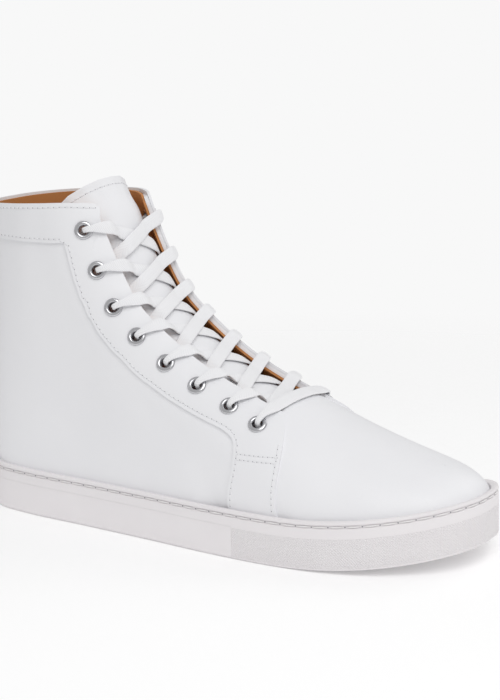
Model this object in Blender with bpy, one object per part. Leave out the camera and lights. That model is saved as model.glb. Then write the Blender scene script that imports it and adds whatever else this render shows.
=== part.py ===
# High-top lace-up trainer, right foot, smooth leather on a stitched cupsole.
# Metres, +Z up, toe towards +X, the outer (lateral) side towards -Y, sole on z = 0.
import bpy
import bmesh
import math
import numpy as np
from mathutils import Vector

for ob in list(bpy.data.objects):
    bpy.data.objects.remove(ob, do_unlink=True)
for me in list(bpy.data.meshes):
    bpy.data.meshes.remove(me)

MM = 0.001

# ---------------------------------------------------------------- driving sizes (mm)
SOLE_LENGTH = 298.0        # heel to toe over the sole
SOLE_WIDTH = 103.5         # widest place, at the ball
LENGTH_SCALE = SOLE_LENGTH / 298.0
WIDTH_SCALE = SOLE_WIDTH / 103.5
COLLAR_HEIGHT = 168.0      # collar edge at the ankle, above the ground
HEIGHT_SCALE = (COLLAR_HEIGHT - 11.3) / 156.7
TOE_SPRING = 11.0          # how far the toe lifts off the ground
SPRING_START = 205.0       # where the lift begins
WALL_HEIGHT = 24.5         # cupsole wall above the ground
WALL_THICK = 2.7           # cupsole wall thickness
SOLE_FLOOR = 5.0           # sole thickness under the cavity
FEATHER_HEIGHT = 11.3      # where the upper starts, inside the cup
INSET = 7.2                # sole edge to the inside face of the lining
OVERLAP_INSET = 1.7        # extra inset where three layers of leather meet the wall

LINING = (0.0, 0.75)        # layer distances out from the inside face
STIFF = (1.25, 1.6)
OUTER = (2.15, 3.05)
OVER = (3.65, 4.7)
EYELET_ROWS = 8
EYELET_OD = 9.6
EYELET_BORE = 5.0
HOLE_D = 6.4               # punched hole the eyelet barrel goes through
THROAT_GAP_TOP = 21.0      # half gap between facing edges at the ankle
THROAT_GAP_LOW = 20.5      # and at the bottom of the throat
EYELET_BACK = 13.0         # facing edge to eyelet centre
SHAFT_HALF = 31.5          # half width of the ankle shaft inside the leather
LACE_W = 6.5
LACE_T = 1.2
TONGUE_THICK = 3.6
TONGUE_DROP = 3.3          # room for the lace between tongue and facing

# ---------------------------------------------------------------- sole outline
OUTLINE = [(0.0, 0.0), (5.6, -16.6), (20.2, -30.9), (45, -36.8), (85, -40.3), (130, -44.8),
           (170, -49.3), (205, -51.2), (235, -49.3), (262.5, -41.4), (285, -26.6), (296.3, -9),
           (297.6, 6), (294, 22), (282, 37.6), (258.4, 47), (230.2, 52.1), (200, 50),
           (165, 42), (125, 36.5), (80, 36.2), (45, 36), (20, 30.5), (5.1, 17)]


def closed_curve(points, steps):
    """Smooth closed curve through the points."""
    pts = np.array(points, float) * [LENGTH_SCALE, WIDTH_SCALE]
    n = len(pts)
    out = []
    for i in range(n):
        p0, p1, p2, p3 = pts[i - 1], pts[i], pts[(i + 1) % n], pts[(i + 2) % n]
        t0 = 0.0
        t1 = t0 + np.linalg.norm(p1 - p0) ** 0.5
        t2 = t1 + np.linalg.norm(p2 - p1) ** 0.5
        t3 = t2 + np.linalg.norm(p3 - p2) ** 0.5
        for t in np.linspace(t1, t2, steps, endpoint=False):
            a1 = (t1 - t) / (t1 - t0) * p0 + (t - t0) / (t1 - t0) * p1
            a2 = (t2 - t) / (t2 - t1) * p1 + (t - t1) / (t2 - t1) * p2
            a3 = (t3 - t) / (t3 - t2) * p2 + (t - t2) / (t3 - t2) * p3
            b1 = (t2 - t) / (t2 - t0) * a1 + (t - t0) / (t2 - t0) * a2
            b2 = (t3 - t) / (t3 - t1) * a2 + (t - t1) / (t3 - t1) * a3
            out.append((t2 - t) / (t2 - t1) * b1 + (t - t1) / (t2 - t1) * b2)
    return np.array(out)


EDGE = closed_curve(OUTLINE, 16)
HEEL_I = int(np.argmin(EDGE[:, 0]))
TOE_I = int(np.argmax(EDGE[:, 0]))


def half_edge(side):
    """Outline from heel to toe down one side: -1 lateral, +1 medial."""
    n = len(EDGE)
    if side < 0:
        idx = [(HEEL_I + k) % n for k in range((TOE_I - HEEL_I) % n + 1)]
    else:
        idx = [(HEEL_I - k) % n for k in range((HEEL_I - TOE_I) % n + 1)]
    return EDGE[idx]


def arc_table(pts):
    seg = np.linalg.norm(np.diff(pts, axis=0), axis=1)
    s = np.concatenate([[0], np.cumsum(seg)])
    return s / s[-1]


HALF = {s: half_edge(s) for s in (-1, 1)}
HALF_S = {s: arc_table(HALF[s]) for s in (-1, 1)}


def edge_at(side, s):
    s = np.asarray(s, float)
    return np.stack([np.interp(s, HALF_S[side], HALF[side][:, 0]),
                     np.interp(s, HALF_S[side], HALF[side][:, 1])], -1)


def ground(x):
    """Height of the sole's underside."""
    k = np.clip((np.asarray(x, float) - SPRING_START) / (SOLE_LENGTH - SPRING_START), 0, None)
    return TOE_SPRING * k ** 2


def smooth(x, a, b):
    k = np.clip((np.asarray(x, float) - a) / (b - a), 0, 1)
    return k * k * (3 - 2 * k)


TAN_ALL = np.roll(EDGE, -1, 0) - np.roll(EDGE, 1, 0)
TAN_ALL /= np.linalg.norm(TAN_ALL, axis=1, keepdims=True)
IN_ALL = np.stack([-TAN_ALL[:, 1], TAN_ALL[:, 0]], 1)
IN_ALL *= np.sign(((EDGE.mean(0) - EDGE) * IN_ALL).sum(1))[:, None]
IN_ALL[HEEL_I] = (1.0, 0.0)
IN_ALL[TOE_I] = (-1.0, 0.0)
HALF_IN = {}
for sd in (-1, 1):
    count = len(HALF[sd])
    HALF_IN[sd] = IN_ALL[[(HEEL_I - sd * k) % len(EDGE) for k in range(count)]]


def inward_at(side, s):
    s = np.asarray(s, float)
    n = np.stack([np.interp(s, HALF_S[side], HALF_IN[side][:, k]) for k in (0, 1)], -1)
    return n / np.linalg.norm(n, axis=-1, keepdims=True)


def edge_inset(side, s, extra):
    """Outline point moved inwards by an inset."""
    return edge_at(side, s) + inward_at(side, s) * np.asarray(extra)[..., None]


# ---------------------------------------------------------------- inside face of the upper
ARC = 343.0
# arc from the heel, top line x, |y|, z, lower handle, upper handle sideways, down, forwards, lower handle back
RIBS = np.array([
    (0, 14.0, 0.0, 165.0, 45, 0, 60, 0, 0), (18, 16.5, 14.5, 165.3, 45, 0, 60, 0, 0),
    (38, 26.0, 25.5, 166.0, 47, 0.3, 58, 0, 0), (64, 43.0, 31.5, 167.0, 52, 0.8, 55, 0, 4),
    (90, 60.0, 33.0, 168.0, 60, 0.6, 50, 1.0, 10), (108, 75.0, 30.6, 168.0, 74, 3.2, 36, 3.0, 15),
    (120, 84.0, 24.0, 166.8, 92, 11.0, 16, 3.0, 19), (128, 88.8, 13.5, 165.8, 110, 21.5, 5, 1.0, 23),
    (134, 91.0, 0.0, 165.0, 124, 34.5, 0, 0, 26), (142, 93.3, 0.0, 159.0, 122, 35, 0, 0, 28),
    (152, 97.5, 0.0, 149.0, 116, 35.5, 0, 0, 28), (163, 103.8, 0.0, 136.0, 107, 36, 0, 0, 27),
    (176, 114.5, 0.0, 118.5, 90, 36, 0, 0, 24), (190, 132.0, 0.2, 103.0, 73, 35, 0, 0, 19),
    (205, 153.0, 0.4, 88.5, 56, 33.5, 0, 0, 13), (220, 175.5, 0.6, 77.0, 43, 31.5, 0, 0, 8),
    (236, 198.0, 1.0, 67.3, 34, 30, 0, 0, 4), (252, 218.0, 1.5, 59.2, 29, 28, 0, 0, 2),
    (268, 235.0, 2.0, 53.5, 24, 26, 0, 0, 0), (284, 248.0, 2.6, 49.6, 20.5, 23.5, 0, 0, 0),
    (300, 258.0, 3.1, 46.8, 18, 20, 0, 0, 0), (316, 266.0, 3.6, 44.6, 16, 16, 0, 0, 0),
    (331, 271.0, 3.9, 43.3, 15, 12.5, 0, 0, 0), (343, 273.0, 4.0, 42.8, 14.5, 10.5, 0, 0, 0)])
RIBS[:, 0] /= ARC
CORNER = 134.0 / ARC
RIBS[:, 1] *= LENGTH_SCALE
RIBS[:, 2] *= WIDTH_SCALE
RIBS[:, 3] = FEATHER_HEIGHT + (RIBS[:, 3] - FEATHER_HEIGHT) * HEIGHT_SCALE


def catmull(xk, yk, x):
    """Monotone-ish cubic through a table."""
    m = np.gradient(yk, xk)
    i = np.clip(np.searchsorted(xk, x) - 1, 0, len(xk) - 2)
    h = xk[i + 1] - xk[i]
    t = (x - xk[i]) / h
    return ((1 + 2 * t) * (1 - t) ** 2 * yk[i] + t * (1 - t) ** 2 * h * m[i]
            + t * t * (3 - 2 * t) * yk[i + 1] + t * t * (t - 1) * h * m[i + 1])


KC = int(np.argmin(abs(RIBS[:, 0] - CORNER)))


def table(col, s):
    """Rib table value, with a true corner where the collar meets the ridge."""
    s = np.asarray(s, float)
    a = catmull(RIBS[:KC + 1, 0], RIBS[:KC + 1, col], np.clip(s, 0, CORNER))
    b = catmull(RIBS[KC:, 0], RIBS[KC:, col], np.clip(s, CORNER, 1))
    return np.where(s <= CORNER, a, b)


RIDGE_S = np.linspace(CORNER, 1, 140)
RIDGE = np.stack([table(1, RIDGE_S), table(3, RIDGE_S)], 1)
RIDGE_UP = RIDGE[:1] - (RIDGE[1:2] - RIDGE[:1]) / np.linalg.norm(RIDGE[1] - RIDGE[0]) * np.array([[60.0], [30.0], [10.0]])
RIDGE_LINE = np.concatenate([RIDGE_UP, RIDGE])
ROUND_TOP = 33.0           # depth over which the shaft rounds off to its ridge
ROUND_LOW = 27.0           # the same at the bottom of the throat
ROUND_POWER = 2.4


RIDGE_A, RIDGE_D = RIDGE_LINE[:-1], np.diff(RIDGE_LINE, axis=0)
RIDGE_DD = np.maximum((RIDGE_D ** 2).sum(1), 1e-12)


def ridge_distance(x, z):
    """Side-view distance to the ridge line."""
    px, pz = np.ravel(x), np.ravel(z)
    best = np.empty(len(px))
    for i in range(0, len(px), 4000):
        ax = px[i:i + 4000, None] - RIDGE_A[None, :, 0]
        az = pz[i:i + 4000, None] - RIDGE_A[None, :, 1]
        k = np.clip((ax * RIDGE_D[:, 0] + az * RIDGE_D[:, 1]) / RIDGE_DD, 0, 1)
        best[i:i + 4000] = ((ax - k * RIDGE_D[:, 0]) ** 2 + (az - k * RIDGE_D[:, 1]) ** 2).min(1)
    return np.sqrt(best).reshape(np.shape(x))


def shaft_half(side, x, z):
    """Half width of the shaft and instep at a side-view point."""
    foot = abs(np.interp(x, HALF[side][:, 0], HALF[side][:, 1])) - INSET
    w = SHAFT_HALF + 1.0 + (foot - SHAFT_HALF - 1.0) * (1 - smooth(z, 11, 112))
    r = ROUND_TOP + (ROUND_LOW - ROUND_TOP) * smooth(x, 95, 190)
    q = np.clip(1 - ridge_distance(x, z) / r, 0, 1)
    return w * (1 - q ** ROUND_POWER) ** (1 / ROUND_POWER)


def rib(side, s, t):
    """Point on the inside face: s heel to toe, t from the feather edge up."""
    s, t = np.broadcast_arrays(np.asarray(s, float), np.asarray(t, float))
    arc = s * ARC
    e = edge_at(side, s)
    bump = smooth(arc, 186, 200) * (1 - smooth(arc, 230, 246)) + (1 - smooth(arc, 10, 30))
    b2 = edge_inset(side, s, INSET + OVERLAP_INSET * bump)
    bz = FEATHER_HEIGHT + ground(e[..., 0])
    tx, ty, tz = table(1, s), table(2, s), table(3, s)
    sgn = np.where(arc > 134.0, 1.0, float(side))
    ty = ty * sgn
    k1, k2 = table(4, s) * HEIGHT_SCALE, table(5, s)
    h = tz - bz
    # lower end: up and a little outwards; the shaft narrows towards one half width
    heel = 1 - smooth(arc, 20, 80)
    out = -inward_at(side, s)
    bulge = 3.5 * heel + 1.5 * (1 - heel) + 1.8 * smooth(arc, 280, 320)
    lam = 0.85 * smooth(arc, 40, 75) * (1 - smooth(arc, 165, 236))
    lean = (tx - b2[..., 0]) * (k1 / h) * 0.75 * (1 - heel) * (1 - smooth(arc, 236, 300))
    p1 = np.stack([b2[..., 0] + out[..., 0] * bulge + lean - table(8, s),
                   side * (abs(b2[..., 1]) * (1 - lam) + SHAFT_HALF * lam) + out[..., 1] * bulge * (1 - lam),
                   bz + k1], -1)
    p1[..., 1] = np.where(arc > 300, b2[..., 1] + out[..., 1] * bulge, p1[..., 1])
    # upper end: level across the ridge, along the shaft at the collar
    beta = smooth(arc, 236, 343)
    dx = (tx - b2[..., 0]) * beta
    dy = ty - b2[..., 1]
    eps = 1e-3
    zx = table(1, np.clip(s + eps, 0, 1)) - table(1, np.clip(s - eps, 0, 1))
    m = (table(3, np.clip(s + eps, 0, 1)) - table(3, np.clip(s - eps, 0, 1))) / np.where(abs(zx) < 1e-6, 1e-6, zx)
    m = np.where(arc > 236, m, 0)
    inward = np.stack([dx, dy, m * dx], -1)
    inward /= np.maximum(np.linalg.norm(inward, axis=-1, keepdims=True), 1e-6)
    plain = np.stack([-table(7, s), -float(side) * k2, table(6, s)], -1)
    handle = np.where((arc > 236)[..., None], inward * k2[..., None], plain)
    top = np.stack([tx, ty, tz], -1)
    p0 = np.stack([b2[..., 0], b2[..., 1], bz], -1)
    p2 = top - handle
    t = t[..., None]
    p = (1 - t) ** 3 * p0 + 3 * t * (1 - t) ** 2 * p1 + 3 * t * t * (1 - t) * p2 + t ** 3 * top
    blend = smooth(arc, 66, 100) * (1 - smooth(arc, 228, 268)) * smooth(t[..., 0], 0.03, 0.3)
    blend = blend * np.where(arc > 134.0, 1 - smooth(t[..., 0], 0.94, 1.0), 1.0)     # the ridge itself stays as drawn
    if np.any(blend > 0):
        y = side * shaft_half(side, p[..., 0], p[..., 2])
        p[..., 1] += (y - p[..., 1]) * blend
    return p


def normal(side, s, t):
    s, t = np.broadcast_arrays(np.asarray(s, float), np.asarray(t, float))
    es, et = 4e-3, 4e-3
    # stay on one side of the collar corner when differencing along the rib table
    s0 = np.clip(s - es, 0, 1)
    s1 = np.clip(s + es, 0, 1)
    s0 = np.where((s >= CORNER) & (s0 < CORNER), CORNER, s0)
    s1 = np.where((s < CORNER) & (s1 > CORNER), CORNER, s1)
    a = rib(side, s1, t) - rib(side, s0, t)
    top = (s >= CORNER) & (t > 1 - et)
    b = rib(side, s, np.where(top, 1.0, t + et)) - rib(side, s, t - et)
    n = np.cross(a, b) * side * -1
    n /= np.maximum(np.linalg.norm(n, axis=-1, keepdims=True), 1e-9)
    mid = (s < 1e-6) | (s > 1 - 1e-6) | ((s >= CORNER) & (t > 1 - 1e-6))
    n[..., 1] = np.where(mid, 0, n[..., 1])
    return n / np.maximum(np.linalg.norm(n, axis=-1, keepdims=True), 1e-9)


def surf(side, s, t, off=0.0):
    n = normal(side, s, t)
    return rib(side, s, t) + n * np.asarray(off, float)[..., None]


# lookup from a side-view point to (s, t)
LOOK = {}
for sd in (-1, 1):
    gs, gt = np.meshgrid(np.linspace(0, 1, 260), np.linspace(0, 1, 120), indexing="ij")
    LOOK[sd] = (gs, gt, rib(sd, gs, gt))


def world(x, z):
    return x * LENGTH_SCALE, FEATHER_HEIGHT + (z - FEATHER_HEIGHT) * HEIGHT_SCALE


def find(side, x, z, s_min=0.03):
    """(s, t) of the surface point seen at x, z from the side."""
    gs, gt, gp = LOOK[side]
    d = (gp[..., 0] - x) ** 2 + (gp[..., 2] - z) ** 2 + np.where(gs < s_min, 1e6, 0)
    i = np.unravel_index(np.argmin(d), d.shape)
    s, t = gs[i], gt[i]
    for _ in range(6):
        p = rib(side, s, t)
        e = 1e-4
        js = (rib(side, s + e, t) - p) / e
        jt = (rib(side, s, t + e) - p) / e
        j = np.array([[js[0], jt[0]], [js[2], jt[2]]])
        try:
            st = np.linalg.solve(j, np.array([x - p[0], z - p[2]]))
        except np.linalg.LinAlgError:
            break
        s = float(np.clip(s + np.clip(st[0], -0.01, 0.01), 0, 1))
        t = float(np.clip(t + np.clip(st[1], -0.02, 0.02), 0, 1))
    return s, t


def t_at_y(side, s, y):
    """t on rib s where |y| falls to a given half gap."""
    tt = np.linspace(0.35, 1, 400)
    p = rib(side, np.full_like(tt, s), tt)
    d = abs(p[:, 1] - (table(2, s) if s > CORNER else 0.0)) - y
    ok = np.where(d > 0)[0]
    if len(ok) == 0:
        return 1.0
    i = ok[-1]
    if i == len(tt) - 1:
        return 1.0
    return float(tt[i] + (tt[i + 1] - tt[i]) * d[i] / (d[i] - d[i + 1]))


# ---------------------------------------------------------------- mesh helpers
def material(name, hexa, rough, metal=0.0):
    m = bpy.data.materials.new(name)
    m.use_nodes = True
    b = m.node_tree.nodes["Principled BSDF"]
    r, g, bl = (int(hexa[i:i + 2], 16) / 255 for i in (1, 3, 5))
    lin = [c / 12.92 if c <= 0.04045 else ((c + 0.055) / 1.055) ** 2.4 for c in (r, g, bl)]
    b.inputs["Base Color"].default_value = (*lin, 1)
    b.inputs["Roughness"].default_value = rough
    b.inputs["Metallic"].default_value = metal
    return m


WHITE = "#EEEEF0"
TAN = "#C1854F"
KIND = {
    "upper leather": (WHITE, 0.45, 0.0), "lining leather": (TAN, 0.6, 0.0), "sole rubber": ("#EDEAEB", 0.55, 0.0),
    "eyelet metal": ("#B9B9BC", 0.25, 1.0), "lace cotton": ("#F1F1F3", 0.9, 0.0), "thread": ("#E6E6E8", 0.8, 0.0),
    "foam": ("#E9E2C8", 0.9, 0.0), "board": ("#C9AE86", 0.9, 0.0), "stiffener": ("#D8D3C6", 0.6, 0.0),
    "footbed": ("#C1854F", 0.7, 0.0), "tip plastic": ("#F4F4F4", 0.3, 0.0)}


# the ground point under the middle of the sole
CENTRE = (*((EDGE.max(0) + EDGE.min(0)) / 2), 0.0)


def add(name, verts, faces, kind):
    me = bpy.data.meshes.new(name)
    me.from_pydata([tuple(float(c - o) * MM for c, o in zip(v, CENTRE)) for v in verts], [], [tuple(int(i) for i in f) for f in faces])
    me.validate()
    bm = bmesh.new()
    bm.from_mesh(me)
    bmesh.ops.remove_doubles(bm, verts=bm.verts, dist=1e-7)
    bmesh.ops.recalc_face_normals(bm, faces=bm.faces)
    bmesh.ops.triangulate(bm, faces=bm.faces)
    if bm.calc_volume(signed=True) < 0:
        bmesh.ops.reverse_faces(bm, faces=bm.faces)
    bm.to_mesh(me)
    bm.free()
    ob = bpy.data.objects.new(name, me)
    bpy.context.scene.collection.objects.link(ob)
    h, r, m = KIND[kind]
    me.materials.append(material(name + " material", h, r, m))
    return ob


def grid_faces(nu, nv, index):
    f = []
    for i in range(nu - 1):
        for j in range(nv - 1):
            f.append((index[i, j], index[i + 1, j], index[i + 1, j + 1], index[i, j + 1]))
    return f


def thick(name, inner, outer, index, kind):
    """Closed sheet between two point grids that share one index grid."""
    inner, outer = np.asarray(inner).reshape(-1, 3), np.asarray(outer).reshape(-1, 3)
    nu, nv = index.shape
    quads = grid_faces(nu, nv, index)
    n = len(inner)
    faces = []
    edges = {}
    for q in quads:
        q = [v for k, v in enumerate(q) if v != q[k - 1]]
        if len(q) < 3:
            continue
        faces.append(tuple(v + n for v in q))
        faces.append(tuple(reversed(q)))
        for a, b in zip(q, q[1:] + q[:1]):
            edges[(a, b)] = 1
    for (a, b) in list(edges):
        if (b, a) not in edges:
            faces.append((b, a, a + n, b + n)[::-1])
    return add(name, np.concatenate([inner, outer]), faces, kind)


def panel(name, side, S, T, lay, kind, flip=False):
    """Sheet on one side of the upper over matching grids of s and t."""
    nrm = normal(side, S, T)
    base = rib(side, S, T)
    inner = base + nrm * lay[0]
    outer = base + nrm * lay[1]
    idx = np.arange(S.size).reshape(S.shape)
    return thick(name, inner, outer, idx, kind)


def both(S, T, off):
    """Points of a grid whose columns run lateral edge, ridge or heel centre, medial edge."""
    half = S.shape[1] // 2
    left = surf(-1, S[:, :half + 1], T[:, :half + 1], off)
    right = surf(1, S[:, half:], T[:, half:], off)
    mid = (left[:, -1:] + right[:, :1]) / 2
    return np.concatenate([left[:, :-1], mid, right[:, 1:]], axis=1)


def cut(ob, cutter):
    mod = ob.modifiers.new("holes", "BOOLEAN")
    mod.object = cutter
    mod.operation = "DIFFERENCE"
    mod.solver = "EXACT"
    cutter.hide_render = True
    cutter.display_type = "WIRE"


# ---------------------------------------------------------------- throat and eyelets
THROAT_S0 = 124.0 / ARC        # facing's top front corner
THROAT_S1 = 234.5 / ARC        # front corner of the flap


def half_gap(s):
    k = np.clip((s - THROAT_S0) / (THROAT_S1 - THROAT_S0), 0, 1)
    return THROAT_GAP_TOP + (THROAT_GAP_LOW - THROAT_GAP_TOP) * k


def throat_edge(side, n):
    """Points (s, t) of the facing edge from the collar corner to the flap corner."""
    ss = np.linspace(THROAT_S0, THROAT_S1, n)
    return ss, np.array([t_at_y(side, s, half_gap(s)) for s in ss])


# eyelet stations from the collar down: x, z of the hole centre on the leather's face
EYELETS = [(85.3, 154.9), (93.3, 134.8), (103.1, 116.4), (117.0, 102.5), (134.6, 90.4), (153.3, 80.8),
           (172.8, 72.5), (190.0, 65.4)]
def find_face(side, x, z):
    """(s, t) whose leather face, not the inside face, is at x, z seen from the side."""
    ex, ez = world(x, z)
    tx_, tz_ = ex, ez
    for _ in range(9):
        s_, t_ = find(side, tx_, tz_)
        p_ = surf(side, s_, t_, OVER[1])
        tx_ += (ex - p_[0]) * 0.8
        tz_ += (ez - p_[2]) * 0.8
    return s_, t_


EYELET_ST = {sd: [find_face(sd, *e) for e in EYELETS] for sd in (-1, 1)}


BACKING_END = max(EYELET_ST[sd][-1][0] for sd in (-1, 1)) * ARC + 4.2    # just past the last holes


def frame_at(side, s, t):
    """Origin, across (towards the throat), along (towards the collar), outwards."""
    p = rib(side, s, t)
    n = normal(side, s, t)
    acr = np.array([0.0, -float(side), 0.0])
    acr = acr - n * (acr @ n)
    acr /= np.linalg.norm(acr)
    al = np.cross(n, acr)
    if al[2] < 0:
        al = -al
    return p, acr, al, n


def hole_cutter(side, diam, lo, hi, name):
    verts, faces = [], []
    for (s, t) in EYELET_ST[side]:
        p, a, b, n = frame_at(side, s, t)
        k = len(verts)
        m = 8
        for z in (lo, hi):
            for i in range(m):
                th = 2 * math.pi * (i + 0.5) / m
                verts.append(p + (a * math.cos(th) + b * math.sin(th)) * diam / 2 + n * z)
        faces.append(tuple(k + i for i in reversed(range(m))))
        faces.append(tuple(k + m + i for i in range(m)))
        for i in range(m):
            j = (i + 1) % m
            faces.append((k + i, k + j, k + m + j, k + m + i))
    return add(name, verts, faces, "eyelet metal")


# ---------------------------------------------------------------- sole and the parts inside it
def half_stations(m):
    """Outline fractions, closer together round the heel and the toe."""
    k = np.linspace(0, 1, m + 1)
    return k


def loop(inset, z, m):
    """Ring of points: heel, lateral side, toe, medial side."""
    s = half_stations(m)
    lat = edge_inset(-1, s, np.full_like(s, inset))
    med = edge_inset(1, s, np.full_like(s, inset))
    mid0, mid1 = (lat[0] + med[0]) / 2, (lat[-1] + med[-1]) / 2
    ring = np.concatenate([[mid0], lat[1:-1], [mid1], med[-2:0:-1]])
    return np.c_[ring, z + ground(ring[:, 0])]


def cap_faces(base, m, up):
    """Close a ring with cross strips."""
    n = 2 * m
    f = [(base, base + 1, base + n - 1)]
    for k in range(1, m - 1):
        f.append((base + k, base + k + 1, base + n - k - 1, base + n - k))
    f.append((base + m - 1, base + m, base + m + 1))
    return [tuple(q) if up else tuple(reversed(q)) for q in f]


def stack(name, profile, m, kind, closed=False):
    """Solid from rings given as (inset, height), capped at both ends or joined into a tube."""
    verts = np.concatenate([loop(i, z, m) for i, z in profile])
    n = 2 * m
    faces = []
    count = len(profile)
    for k in range(count if closed else count - 1):
        a, b = k * n, ((k + 1) % count) * n
        for i in range(n):
            j = (i + 1) % n
            faces.append((a + i, a + j, b + j, b + i))
    if not closed:
        faces += cap_faces(0, m, False)
        faces += cap_faces((count - 1) * n, m, True)
    return add(name, verts, faces, kind)


GROOVE_Z = WALL_HEIGHT - 2.7
stack("outsole", [(0.8, 0.0), (0.0, 0.9), (0.0, GROOVE_Z - 1.1), (1.0, GROOVE_Z - 0.6), (1.0, GROOVE_Z + 0.6),
                  (0.0, GROOVE_Z + 1.1), (0.15, WALL_HEIGHT - 0.4), (0.8, WALL_HEIGHT),
                  (WALL_THICK - 0.4, WALL_HEIGHT), (WALL_THICK, WALL_HEIGHT - 0.4),
                  (WALL_THICK, SOLE_FLOOR + 0.6), (WALL_THICK + 0.8, SOLE_FLOOR)], 30, "sole rubber")
stack("sidewall_stitching", [(0.2, GROOVE_Z - 0.28), (0.2, GROOVE_Z + 0.28), (0.72, GROOVE_Z + 0.28),
                             (0.72, GROOVE_Z - 0.28)], 30, "thread", closed=True)
stack("midsole_filler", [(WALL_THICK + 1.8, SOLE_FLOOR + 0.6), (WALL_THICK + 0.9, SOLE_FLOOR + 1.5),
                         (WALL_THICK + 0.9, FEATHER_HEIGHT - 1.2)], 22, "foam")
BOARD_INSET = INSET + OVERLAP_INSET + 0.7
stack("insole_board", [(BOARD_INSET, FEATHER_HEIGHT + 0.1), (BOARD_INSET, FEATHER_HEIGHT + 2.1)], 20, "board")
stack("footbed", [(BOARD_INSET + 0.5, FEATHER_HEIGHT + 2.5), (BOARD_INSET + 0.3, FEATHER_HEIGHT + 6.6),
                  (BOARD_INSET + 1.2, FEATHER_HEIGHT + 7.2)], 22, "footbed")

# ---------------------------------------------------------------- outlines of the leather panels
def t_at_z(side, s, z):
    z = FEATHER_HEIGHT + (z - FEATHER_HEIGHT) * HEIGHT_SCALE
    tt = np.linspace(0, 1, 300)
    p = rib(side, np.full_like(tt, s), tt)[:, 2]
    i = int(np.clip(np.searchsorted(p, z), 1, len(tt) - 1))
    return float(np.clip(tt[i - 1] + (z - p[i - 1]) / max(p[i] - p[i - 1], 1e-9) * (tt[i] - tt[i - 1]), 0, 1))


def resample(pts, n):
    pts = np.array(pts, float)
    seg = np.linalg.norm(np.diff(pts, axis=0), axis=1)
    d = np.concatenate([[0], np.cumsum(seg)])
    x = np.linspace(0, d[-1], n)
    return np.stack([np.interp(x, d, pts[:, k]) for k in range(pts.shape[1])], 1)


BAND_Z = 148.0             # lower edge of the collar band
# rear edge of the facing: down behind the eyelets, then down the front strip
REAR = [(76.0, 147.6), (77.9, 142.4), (79.6, 136.5), (81.8, 129.3), (85.3, 120.6), (90.2, 111.4), (97.0, 102.4),
        (105.7, 94.2), (115.8, 86.8), (127.7, 79.8), (140.4, 73.5), (153.0, 68.7), (165.2, 64.8), (172.0, 62.8),
        (176.4, 61.0), (179.6, 58.8), (181.2, 56.2), (182.0, 51.6)]
REAR_LOW = [(182.0, 51.6), (181.9, 45.9), (180.9, 40.4), (180.0, 36.5), (179.0, 25.5)]
FRONT_LOW = [(202.6, 64.2), (205.7, 58.3), (207.2, 51.5), (207.7, 46.0), (207.6, 38.5), (207.7, 26.4)]
UNDERLAP = 5.6             # how far the quarter runs under the facing


def shifted(pts, d):
    """Side-view line moved towards the throat."""
    p = np.array(pts, float)
    t = np.gradient(p, axis=0)
    t /= np.linalg.norm(t, axis=1, keepdims=True)
    return p + np.stack([-t[:, 1], t[:, 0]], 1) * d


QUARTER_FRONT = [(78.3, 153.6)] + [tuple(v) for v in shifted(REAR, UNDERLAP)]


def st_list(side, pts):
    return np.array([find_face(side, x, z) for x, z in pts])


EDGES = {}
for sd in (-1, 1):
    q = st_list(sd, QUARTER_FRONT)
    EDGES[sd] = q
S_QUARTER = {sd: float(EDGES[sd][-1, 0]) for sd in (-1, 1)}
S_QTOP = {sd: float(EDGES[sd][0, 0]) for sd in (-1, 1)}


def quarter_top(side, s):
    if s <= S_QTOP[side]:
        return t_at_z(side, s, 153.6)
    return float(np.interp(s, EDGES[side][:, 0], EDGES[side][:, 1]))


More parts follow.
